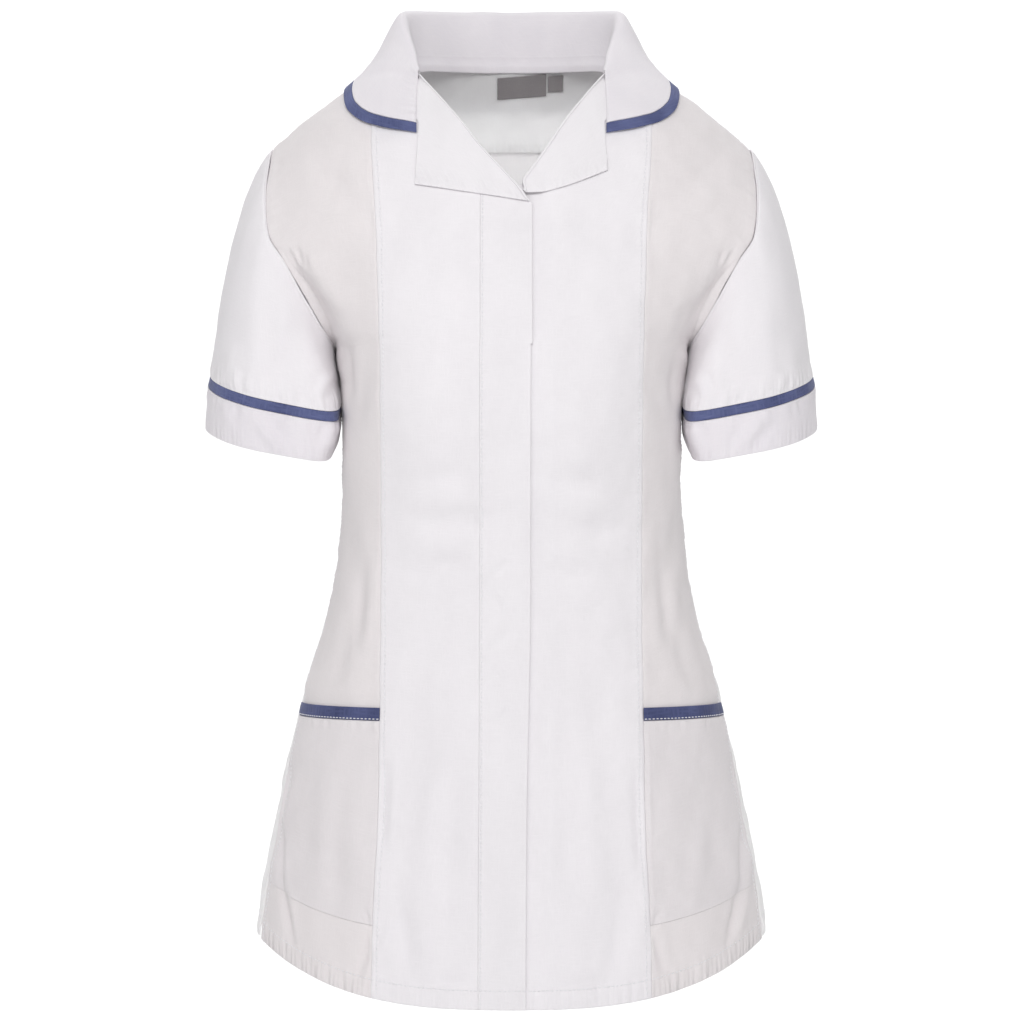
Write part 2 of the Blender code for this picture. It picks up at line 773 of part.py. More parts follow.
def clear_of_body(point, clearance):
    """Push a point of the leaf out until it clears the body."""
    near, normal, _, _ = RESTS_ON.find_nearest(point)
    above = (point - near).dot(normal)
    return point + normal * max(clearance - above, 0.0)


def bezier(first, second, third, fourth, part):
    rest = 1 - part
    return (first * rest ** 3 + second * 3 * rest * rest * part + third * 3 * rest * part * part
            + fourth * part ** 3)


FOLD_AT = 10
collar_lines = {}


def collar_line(station):
    """The collar's section at a station on +X, from its seam over the fold to the leaf's edge."""
    key = round(station, 6)
    if key in collar_lines:
        return collar_lines[key]
    row = {name: read(COLLAR, name, station) for name in Collar._fields[1:]}
    side = BACK if row["seam_way"] > 0.9995 else FRONT
    level = level_at(row["seam_way"])
    seam = form(turn_at(row["seam_x"], level, side), level, side)
    fold = Vector((row["fold_x"], row["fold_y"], row["fold_z"]))
    edge = clear_of_body(Vector((row["edge_x"], row["edge_y"], row["edge_z"])), LEAF_CLEAR)
    rise = (fold - seam).normalized()
    seam = seam + rise * 0.45
    out = edge - fold
    out.z = 0
    out = out.normalized() if out.length > 1 else Vector((0, -1, 0))
    tall = (fold - seam).length
    soft = min(5.0, 0.45 * tall)
    droop = (edge - fold)
    points = [bezier(seam, seam + (fold - seam) * 0.5, fold - out * soft, fold, i / FOLD_AT)
              for i in range(FOLD_AT)]
    lean = 14.0 * smooth(1.0, 0.75, station) + 3.0
    points += [bezier(fold, fold + out * lean, edge - droop * 0.42, edge, i / 16) for i in range(17)]
    settled = []
    for i, point in enumerate(points):
        settled.append(clear_of_body(point, LEAF_CLEAR) if i > FOLD_AT + 3 else point)
    lengths = [0.0]
    for before, after in zip(settled, settled[1:]):
        lengths.append(lengths[-1] + (after - before).length)
    collar_lines[key] = settled, lengths
    return collar_lines[key]


def collar_point(station, length):
    """A point of the collar on either side at a length from its seam."""
    points, lengths = collar_line(abs(station))
    length = min(max(length, 0.0), lengths[-1])
    i = min(max(bisect.bisect_right(lengths, length) - 1, 0), len(points) - 2)
    part = (length - lengths[i]) / (lengths[i + 1] - lengths[i])
    point = points[i].lerp(points[i + 1], part)
    return Vector((math.copysign(point.x, station) if abs(station) > 1e-9 else 0.0, point.y, point.z))


def collar_share(station, length):
    """Where a length lies on a station: up to 1 on the stand and from 1 to 2 on the leaf."""
    lengths = collar_line(abs(station))[1]
    fold = lengths[FOLD_AT]
    return length / fold if length <= fold else 1 + (length - fold) / (lengths[-1] - fold)


def length_at(station, share):
    lengths = collar_line(abs(station))[1]
    fold = lengths[FOLD_AT]
    return fold * share if share <= 1 else fold + (lengths[-1] - fold) * (share - 1)


def collar_normal(station, length):
    """The way that the collar's upper side faces: to the neck on the stand, outward on the leaf."""
    total = collar_line(abs(station))[1][-1]
    low, high = max(length - 1.5, 0.0), min(length + 1.5, total)
    down = collar_point(station, high) - collar_point(station, low)
    share = collar_share(station, length)
    ahead, behind = min(station + 0.012, 1.0), max(station - 0.012, -1.0)
    along = collar_point(ahead, length_at(ahead, share)) - collar_point(behind, length_at(behind, share))
    return along.cross(down).normalized()


STAND_PARTS = (0.0, 0.45, 0.82)
LEAF_PARTS = (0.0, 0.09, 0.24, 0.43, 0.62, 0.81, 1.0)


def collar_length(station, column):
    """Length from the seam at which a column crosses a station, with one column along the fold."""
    lengths = collar_line(abs(station))[1]
    fold = lengths[FOLD_AT]
    if column < len(STAND_PARTS):
        return fold * STAND_PARTS[column]
    leaf = lengths[-1] - COLLAR_TRIM_WIDTH - SEAM - fold
    return fold + leaf * LEAF_PARTS[column - len(STAND_PARTS)]


def collar_station(row):
    """Station of a row, closer together towards the collar's ends."""
    part = (row - COLLAR_HALF) / COLLAR_HALF
    return math.copysign(abs(part) * (1.35 - 0.35 * abs(part)), part)


def make_collar():
    def place(column, row, depth):
        station = collar_station(row)
        length = collar_length(station, column)
        return collar_point(station, length) + collar_normal(station, length) * COLLAR_THICK * (0.5 - depth)

    return make_wall("collar", len(STAND_PARTS) + len(LEAF_PARTS) - 1, 2 * COLLAR_HALF, place, white)


def make_collar_trim():
    def place(column, row, depth):
        station = collar_station(row)
        total = collar_line(abs(station))[1][-1]
        length = total - (COLLAR_TRIM_WIDTH - SEAM) * (1 - column)
        normal = collar_normal(station, length)
        return collar_point(station, length) + normal * (COLLAR_THICK / 2 + 0.35 - TRIM * depth)

    return make_wall("collar_trim", 1, 2 * COLLAR_HALF, place, navy)


make_collar()
make_collar_trim()

# Revers: the fronts turned back from the roll line, beside the collar's ends
REVERS_TOP = 0.752
REVERS_WAYS = [way for way in WAYS if 0.4 <= way < REVERS_TOP] + [REVERS_TOP]
REVERS_COLUMNS = 6
REVERS_LIFT = 0.6
REVERS_OUTER_X = 68.8
ROLL_INSET = 0.3
Lower = namedtuple("Lower", "x z")
RIGHT_LOWER = [
    Lower(-70.5, -103.8),
    Lower(-31.7, -110.0),
    Lower(13.6, -117.2),
]
LEFT_LOWER = [
    Lower(8.0, -108.0),
    Lower(10.5, -110.6),
    Lower(19.0, -110.4),
    Lower(37.3, -106.3),
    Lower(70.6, -93.2),
]


def make_revers(name, ways, lower, roll, outer):
    """Rows on the panel's own ways up, closed below by the revers' lower edge."""
    def place(column, row, depth):
        part = column / REVERS_COLUMNS
        if row == 0:
            x = lower[0].x + (lower[-1].x - lower[0].x) * part
            way = way_of(x, read(lower, "z", x))
        else:
            way = ways[row - 1]
            ends = sorted((roll(way), outer * (1 + 0.01 * smooth(0.53, PLACKET_WAY, way))))
            x = ends[0] + (ends[1] - ends[0]) * part
        level = level_at(way)
        return cloth_point(turn_at(x, level), level, FRONT, REVERS_LIFT + APPLIED * (1 - depth))

    return make_wall(name, REVERS_COLUMNS, len(ways), place, white)


make_revers("revers_right", REVERS_WAYS, RIGHT_LOWER,
            lambda way: roll_x(way, "lapping") - ROLL_INSET, -REVERS_OUTER_X)
make_revers("revers_left", REVERS_WAYS[1:], LEFT_LOWER,
            lambda way: roll_x(way, "under") + ROLL_INSET, REVERS_OUTER_X)

# Pockets and their trims, on the side fronts' own points
POCKET_LIFT = 0.35
POCKET_INSET = 0.5


def make_pocket(name, sign, low, high, thickness, cloth):
    levels = [level for level in LEVELS if low <= level <= high]

    def place(column, row, depth):
        count = column if sign > 0 else SIDE_COLUMNS - column
        turn = side_place(sign, count, levels[row])
        if count == 0:
            turn = inset(turn, levels[row], FRONT, sign * POCKET_INSET)
        if count == SIDE_COLUMNS:
            turn = inset(turn, levels[row], FRONT, -sign * POCKET_INSET)
        level = levels[row] + (SEAM if row == 0 else 0) - (SEAM if row == len(levels) - 1 else 0)
        return cloth_point(turn, level, FRONT, POCKET_LIFT + thickness * (1 - depth))

    return make_wall(name, SIDE_COLUMNS, len(levels) - 1, place, cloth)


for word, sign in (("right", -1), ("left", 1)):
    make_pocket("pocket_" + word, sign, POCKET_BOTTOM, POCKET_TOP, APPLIED, white)
    make_pocket("pocket_trim_" + word, sign, POCKET_TOP, POCKET_TRIM_TOP, APPLIED + 0.5, navy)

# Labels inside the neck, sewn in with the collar
LABEL_LIFT = -DOUBLE - 0.9
LABEL_THICK = 1.0
LABEL_COLUMNS = 3
LABEL_ROWS = 2


def make_label(name, left, right, top, bottom):
    def place(column, row, depth):
        x = left + (right - left) * column / LABEL_COLUMNS
        z = bottom + (top - bottom) * row / LABEL_ROWS
        level = level_at(way_of(x, z))
        return cloth_point(turn_at(x, level, BACK), level, BACK, LABEL_LIFT - LABEL_THICK * depth)

    return make_wall(name, LABEL_COLUMNS, LABEL_ROWS, place, grey)


make_label("neck_label", -11.3, 27.6, -1.5, -20.0)
make_label("size_label", 28.2, 40.0, -2.0, -14.8)
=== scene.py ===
"""The looks of a medical tunic, worn and hollow.

Every panel lies on one form, the tunic's outer face. A place on the form is a turn, in degrees from the
centre line of the front or the back towards +X, and a level: a height in millimetres up to the underarm,
and from there the way up to the shoulder seam, which is level 0. The wearer faces -Y. Each piece of cloth
is a grid of points on that form, raised by its seams, hems, puckers and creases, and given a thickness.
"""
import math
from collections import namedtuple

import bmesh
import bpy
import numpy as np
from bpy.props import FloatProperty, FloatVectorProperty, PointerProperty
from mathutils import Matrix, Vector
from mathutils.bvhtree import BVHTree


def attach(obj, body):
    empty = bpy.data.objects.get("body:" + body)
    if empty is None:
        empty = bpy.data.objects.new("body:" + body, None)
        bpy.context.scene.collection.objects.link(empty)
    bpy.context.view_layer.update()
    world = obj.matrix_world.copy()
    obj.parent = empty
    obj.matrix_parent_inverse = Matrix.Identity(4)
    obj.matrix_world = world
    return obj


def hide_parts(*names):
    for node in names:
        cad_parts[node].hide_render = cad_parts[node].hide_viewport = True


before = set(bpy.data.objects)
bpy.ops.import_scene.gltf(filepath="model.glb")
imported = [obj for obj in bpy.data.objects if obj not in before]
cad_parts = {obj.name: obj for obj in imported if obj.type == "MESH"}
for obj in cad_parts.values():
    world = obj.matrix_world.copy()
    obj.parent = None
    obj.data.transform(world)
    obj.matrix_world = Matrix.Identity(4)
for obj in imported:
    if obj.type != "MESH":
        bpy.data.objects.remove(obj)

bl_info = {
    "name": "Medical tunic",
    "version": (1, 0, 0),
    "blender": (4, 5, 0),
    "location": "3D View > Sidebar > Tunic",
    "description": "Makes the cloth, trims and sewing of a medical tunic",
    "category": "Object",
}

MM = 0.001
FRONT = -1
BACK = 1
ARM_FRONT = -2
ARM_BACK = 2

# Heights of the main lines
HEM = -700.0
UNDERARM = -222.0
HEM_RISE = 42.0
HEM_RISE_FROM = -500.0

# Shoulder line: it rises a little to the middle, then falls on a curve to the tip of the shoulder
NECK_RISE = 4.0
NECK_HALF = 70.0
NECK_RISE_ENDS = NECK_HALF + 5
FALL_FROM_X = 60.0
SHOULDER_TIP_X = 182.0
SHOULDER_TIP_DROP = 70.0
SHOULDER_FALL = 1.66

# Cloth: what a piece is thick, and the gap at a seam
SINGLE = 1.5
DOUBLE = 1.9
APPLIED = 1.2
TRIM = 1.9
SEAM = 0.03
LAP_GAP = 0.4
LAP_SLACK = 0.4

# Body below the underarm: half width, depth of the centre front and of the centre back
Body = namedtuple("Body", "height half_width front back")
BODY = [
    Body(-700, 195.0, 142.0, 140.0),
    Body(-654, 192.0, 136.0, 134.0),
    Body(-617, 187.3, 131.0, 128.0),
    Body(-581, 180.0, 125.0, 122.0),
    Body(-544, 172.5, 119.0, 115.0),
    Body(-508, 164.0, 113.0, 108.0),
    Body(-471, 155.0, 108.0, 100.0),
    Body(-435, 143.3, 104.0, 93.0),
    Body(-398, 134.5, 103.0, 89.0),
    Body(-362, 130.0, 105.0, 89.0),
    Body(-316, 127.6, 112.0, 94.0),
    Body(-275, 128.0, 119.0, 99.0),
    Body(-245, 129.8, 121.0, 102.0),
    Body(-222, 134.0, 121.0, 104.0),
]

# Body above the underarm, by the way up to the shoulder: armhole x and depth, depth of the centre back
Chest = namedtuple("Chest", "way armhole_x armhole_depth back")
CHEST = [
    Chest(0.00, 134.0, 0.0, 104.0),
    Chest(0.01, 134.2, 12.0, 104.1),
    Chest(0.03, 135.1, 24.0, 104.4),
    Chest(0.06, 138.4, 37.0, 105.0),
    Chest(0.10, 143.8, 46.5, 105.9),
    Chest(0.20, 157.0, 56.5, 107.5),
    Chest(0.30, 169.0, 60.0, 108.5),
    Chest(0.40, 180.0, 57.0, 108.0),
    Chest(0.50, 182.5, 50.0, 104.0),
    Chest(0.60, 182.8, 42.0, 97.0),
    Chest(0.70, 182.0, 31.0, 88.0),
    Chest(0.80, 181.5, 20.0, 81.0),
    Chest(0.90, 181.0, 10.0, 76.0),
    Chest(1.00, 180.5, 0.0, 74.0),
]
CHEST_DEPTH = 121.0
CLIMB_START = 1.78
CLIMB_SHARE = 0.75
NECK_BACK_Y = 74.0
NECK_FADE_X = 120.0
NECK_FADE = 2.2
NECK_PULL_FRONT = 6
NECK_PULL_BACK = 4

# How full the chest stands ahead: power of its curve, and what that gains near the underarm, up to a share
CHEST_CURVE = 1.12
CHEST_CURVE_LOW = 0.75
CHEST_LOW_SHARE = 0.45
CHEST_POWER = 0.4

# Roundness of a section, as the power of its depth: 1 is an ellipse, and less is squarer
ARMHOLE_POWER = 0.68
ARMHOLE_POWER_FRONT = 0.32
ARMHOLE_POWER_BACK = 0.14
ARMHOLE_ROUND_BY = 0.4
ARMHOLE_LAST_WAY = 0.96
BODY_POWER = 0.78
SQUARER_AT_BUST = 0.1
ROUNDER_AT_HIPS = 0.07
WAIST = -420.0
BUST_LINE = -250.0
HIPS = -640.0

# Bust: a soft rise on each side of the front
BUST_X = 78.0
BUST_HEIGHT = -246.0
BUST_RISE = 10.0
BUST_SPREAD_X = 36.0
BUST_SPREAD_Z = 58.0
BUST_FADES_BY = 0.25

# Seams down the front, by height: princess seam, front edge of the lapping side, seam of its placket
Down = namedtuple("Down", "height princess edge placket")
DOWN = [
    Down(-700, 101.3, 10.3, -24.0),
    Down(-650, 100.8, 10.6, -24.0),
    Down(-600, 98.4, 10.9, -23.8),
    Down(-550, 97.0, 11.4, -23.6),
    Down(-480, 96.4, 13.0, -23.4),
    Down(-400, 96.2, 14.1, -23.2),
    Down(-262, 96.2, 14.1, -23.0),
    Down(-138, 99.3, 15.4, -22.7),
    Down(-73, 103.6, 15.5, -22.7),
    Down(4, 106.0, 15.5, -22.7),
]
PLACKET_TOP = -116.0

# Roll lines of the two revers, by height: x on the lapping front and on the front that lies under
Roll = namedtuple("Roll", "height lapping under")
ROLL = [
    Roll(-118.0, 15.4, -8.0),
    Roll(-104.2, 4.0, 4.0),
    Roll(-72.5, -24.0, 27.3),
    Roll(-58.3, -34.3, 36.4),
    Roll(-16.0, -69.2, 69.2),
]

# Neck seam of a front above the gorge, by the way up
Neckline = namedtuple("Neckline", "way x")
NECKLINE = [
    Neckline(0.769, 69.2),
    Neckline(0.83, 71.2),
    Neckline(0.90, 72.6),
    Neckline(0.95, 72.9),
    Neckline(1.0, 72.0),
]
GORGE_WAY = 0.769
BREAK_WAY = 0.345
PLACKET_WAY = 0.482
UNDER_EDGE_X = -20.0
UNDER_EDGE_LEAVES = 0.20

# Side seam with its vent, and where the under front drops behind the placket
SIDE_SEAM_TURN = 13.5
SIDE_SEAM_TURNS_FROM = -330.0
VENT_TOP = -625.0
VENT_OPEN = 4.0
DIP_FROM_X = 31.0
DIP_TO_X = 17.5
DIP_FROM_Z = -92.0
DIP_TO_Z = -102.0

# Grain of the grids: how far apart points lie, and how far from an edge they lie closer
STEP = 2.8
EDGE_MARKS = (0.0, 0.3, 0.8, 1.5, 2.7, 3.6, 4.1, 4.6, 5.6, 7.2)
TOPSTITCH = 4.1


def smooth(low, high, value):
    """0 below low, 1 above high and a soft step between them."""
    if low > high:
        return 1 - smooth(high, low, value)
    part = np.clip((value - low) / (high - low), 0.0, 1.0)
    return part * part * (3 - 2 * part)


slopes_found = {}


def read(table, column, at):
    """Read a column of a table at values of its first column, on a curve with no overshoot."""
    key = (id(table), column)
    if key not in slopes_found:
        places = np.array([row[0] for row in table], float)
        values = np.array([getattr(row, column) for row in table], float)
        rises = np.diff(values) / np.diff(places)
        slopes = [rises[0]]
        for before, after in zip(rises, rises[1:]):
            slopes.append(0.0 if before * after <= 0 else 2 * before * after / (before + after))
        slopes_found[key] = places, values, np.array(slopes + [rises[-1]])
    places, values, slopes = slopes_found[key]
    at = np.clip(at, places[0], places[-1])
    i = np.clip(np.searchsorted(places, at, side="right") - 1, 0, len(places) - 2)
    width = places[i + 1] - places[i]
    part = (at - places[i]) / width
    square, cube = part ** 2, part ** 3
    return ((2 * cube - 3 * square + 1) * values[i] + (cube - 2 * square + part) * width * slopes[i]
            + (3 * square - 2 * cube) * values[i + 1] + (cube - square) * width * slopes[i + 1])


def level_at(way):
    """Level of a way up from the underarm, 0, to the shoulder seam, 1."""
    return UNDERARM * (1 - way)


def way_at(level):
    """Way up to the shoulder of a level above the underarm."""
    return np.clip((level - UNDERARM) / -UNDERARM, 0.0, 1.0)


def ridge_z(x):
    """Height of the shoulder line."""
    out = np.abs(x)
    rise = NECK_RISE * (1 - (np.minimum(out, FALL_FROM_X) / NECK_HALF) ** 2)
    rise = rise * np.where(out > FALL_FROM_X, smooth(NECK_RISE_ENDS, FALL_FROM_X, out), 1.0)
    fall = np.maximum(out - FALL_FROM_X, 0.0) / (SHOULDER_TIP_X - FALL_FROM_X)
    return rise - SHOULDER_TIP_DROP * fall ** SHOULDER_FALL


def ridge_y(x):
    """How far behind the shoulder line the neck draws it, which makes the back of the neck."""
    out = np.minimum(np.abs(x) / NECK_FADE_X, 1.0)
    return NECK_BACK_Y * (1 - out ** NECK_FADE) ** NECK_FADE


def climb(way):
    """Share of the height from the underarm to the shoulder line."""
    return np.sin(np.radians(90 * way ** CLIMB_SHARE)) ** CLIMB_START


def way_of(x, z):
    """Way up at which the front or back passes a height z at x, above the underarm."""
    share = np.clip((z - UNDERARM) / (ridge_z(x) - UNDERARM), 0.0, 1.0)
    return (np.degrees(np.arcsin(share ** (1 / CLIMB_START))) / 90) ** (1 / CLIMB_SHARE)


def chest_depth(way, side):
    """Depth of the centre front or back above the underarm, without what the neck adds."""
    behind = read(CHEST, "back", way) - NECK_BACK_Y * way ** NECK_PULL_BACK
    share = climb(way)
    curve = CHEST_CURVE + CHEST_CURVE_LOW * smooth(CHEST_LOW_SHARE, 0, share)
    ahead = CHEST_DEPTH * np.maximum(1 - share ** curve, 0.0) ** CHEST_POWER
    return np.where(side == BACK, behind, ahead)


def chest_section(way, side):
    """Depth, whole half width, power and last angle of a section that the armhole cuts."""
    depth = chest_depth(way, side)
    rounder = np.where(side == FRONT, ARMHOLE_POWER_FRONT, ARMHOLE_POWER_BACK)
    power = ARMHOLE_POWER + rounder * smooth(0, ARMHOLE_ROUND_BY, way)
    low = np.minimum(way, ARMHOLE_LAST_WAY)
    ratio = read(CHEST, "armhole_depth", low) / chest_depth(low, side)
    last = np.arccos(np.clip(ratio, 0.0, 1.0) ** (1 / power))
    return depth, read(CHEST, "armhole_x", way) / np.sin(last), power, last


def hung_height(angle, level):
    """Height of a point of a level below the underarm, where the hem rises towards the sides."""
    drop = np.clip((HEM_RISE_FROM - level) / (HEM_RISE_FROM - HEM), 0.0, 1.0)
    return level + HEM_RISE * np.abs(np.sin(angle)) ** 3 * drop


def turn_at(x, level, side=FRONT):
    """Turn of the point at x on a level."""
    x, level = np.broadcast_arrays(np.asarray(x, float), np.asarray(level, float))
    _, wide, _, last = chest_section(way_at(level), side)
    above = np.clip(90 * np.arcsin(np.clip(x / wide, -1, 1)) / last, -90, 90)
    angle = np.zeros_like(x)
    for _ in range(4):
        wide = read(BODY, "half_width", hung_height(angle, level))
        angle = np.arcsin(np.clip(x / wide, -1, 1))
    return np.where(level > UNDERARM, above, np.degrees(angle))


def form(turn, level, side):
    """Points of the tunic's outer face."""
    turn, level = np.broadcast_arrays(np.asarray(turn, float), np.asarray(level, float))
    over = np.abs(turn) > 90
    turn = np.where(over, np.copysign(180 - np.abs(turn), turn), turn)
    side = np.where(over, -side, side)
    angle = np.radians(turn)
    inward = np.maximum(np.cos(angle), 0.0)
    low_z = hung_height(angle, level)
    low_x = read(BODY, "half_width", low_z) * np.sin(angle)
    depth = np.where(side == FRONT, read(BODY, "front", low_z), read(BODY, "back", low_z))
    power = BODY_POWER - SQUARER_AT_BUST * smooth(WAIST, BUST_LINE, low_z)
    power = power + ROUNDER_AT_HIPS * smooth(WAIST, HIPS, low_z)
    low_y = side * depth * inward ** power
    way = way_at(level)
    depth, wide, power, last = chest_section(way, side)
    angle = last * turn / 90
    high_in = np.maximum(np.cos(angle), 0.0)
    high_x = wide * np.sin(angle)
    high_z = UNDERARM + (ridge_z(high_x) - UNDERARM) * climb(way)
    pull = np.where(side == FRONT, NECK_PULL_FRONT, NECK_PULL_BACK)
    high_y = side * depth * high_in ** power + ridge_y(high_x) * way ** pull
    below = level <= UNDERARM
    x, y, z = (np.where(below, a, b) for a, b in ((low_x, high_x), (low_y, high_y), (low_z, high_z)))
    away = ((np.abs(x) - BUST_X) / BUST_SPREAD_X) ** 2 + ((z - BUST_HEIGHT) / BUST_SPREAD_Z) ** 2
    bust = BUST_RISE * np.exp(-away) * smooth(0, BUST_FADES_BY, np.where(below, inward, high_in))
    return np.stack([x, y - np.where(side == FRONT, bust, 0.0), z], axis=-1)


def inset(turn, level, side, gap):
    """Turns moved by gap along the cloth, so that two panels stay apart at their seam."""
    step = np.linalg.norm(form(turn + 0.5, level, side) - form(turn - 0.5, level, side), axis=-1)
    return turn + gap / np.maximum(step, 0.3)


def side_seam(level):
    """Turn of the side seam on +X, which comes forward towards the hem. Above it lies the armhole."""
    return 90.0 - SIDE_SEAM_TURN * smooth(SIDE_SEAM_TURNS_FROM, HIPS, level)


def vent(level):
    """How far each side of the side seam's vent stands open, which it does a little at the hem."""
    return VENT_OPEN * smooth(VENT_TOP, HEM, level) ** 2


def front_side_edge(level):
    """Side edge of a side front."""
    low = inset(side_seam(level), np.minimum(level, UNDERARM), FRONT, -SEAM - vent(level))
    return np.where(level <= UNDERARM, low, 90.0)


def back_side_edge(level):
    """Side edge of the back, measured from the centre back."""
    low = 180 - inset(side_seam(level), np.minimum(level, UNDERARM), FRONT, SEAM + vent(level))
    return np.where(level <= UNDERARM, low, 90.0)


def princess(level):
    """Turn of the princess seam on +X."""
    height = UNDERARM + (ridge_z(DOWN[-1].princess) - UNDERARM) * climb(way_at(level))
    return turn_at(read(DOWN, "princess", np.where(level <= UNDERARM, level, height)), level)


def roll_x(way, column):
    """x of a front's roll line, or of its neck seam above the gorge."""
    x = np.full_like(way, ROLL[2].under)
    for _ in range(3):
        x = read(ROLL, column, UNDERARM + (ridge_z(x) - UNDERARM) * climb(way))
    return np.where(way >= GORGE_WAY, read(NECKLINE, "x", way) * (1 if column == "under" else -1), x)


def lapping_edge(level):
    """x of the free edge of the lapping front."""
    edge = read(DOWN, "edge", np.where(level <= UNDERARM, level, PLACKET_TOP))
    return np.where(level <= level_at(BREAK_WAY), edge, np.minimum(edge, roll_x(way_at(level), "lapping")))


def placket_x(level):
    """x of the seam between the lapping front and its placket."""
    return read(DOWN, "placket", np.where(level <= UNDERARM, level, PLACKET_TOP))


def under_edge(level):
    """x of the free edge of the front that lies under: the roll line, cut away below the V."""
    way = way_at(level)
    roll = roll_x(way, "under")
    reach = float(roll_x(np.array(BREAK_WAY), "under")) - UNDER_EDGE_X
    cut_away = UNDER_EDGE_X + reach * smooth(UNDER_EDGE_LEAVES, BREAK_WAY, way)
    return np.where(way >= BREAK_WAY, roll, cut_away)


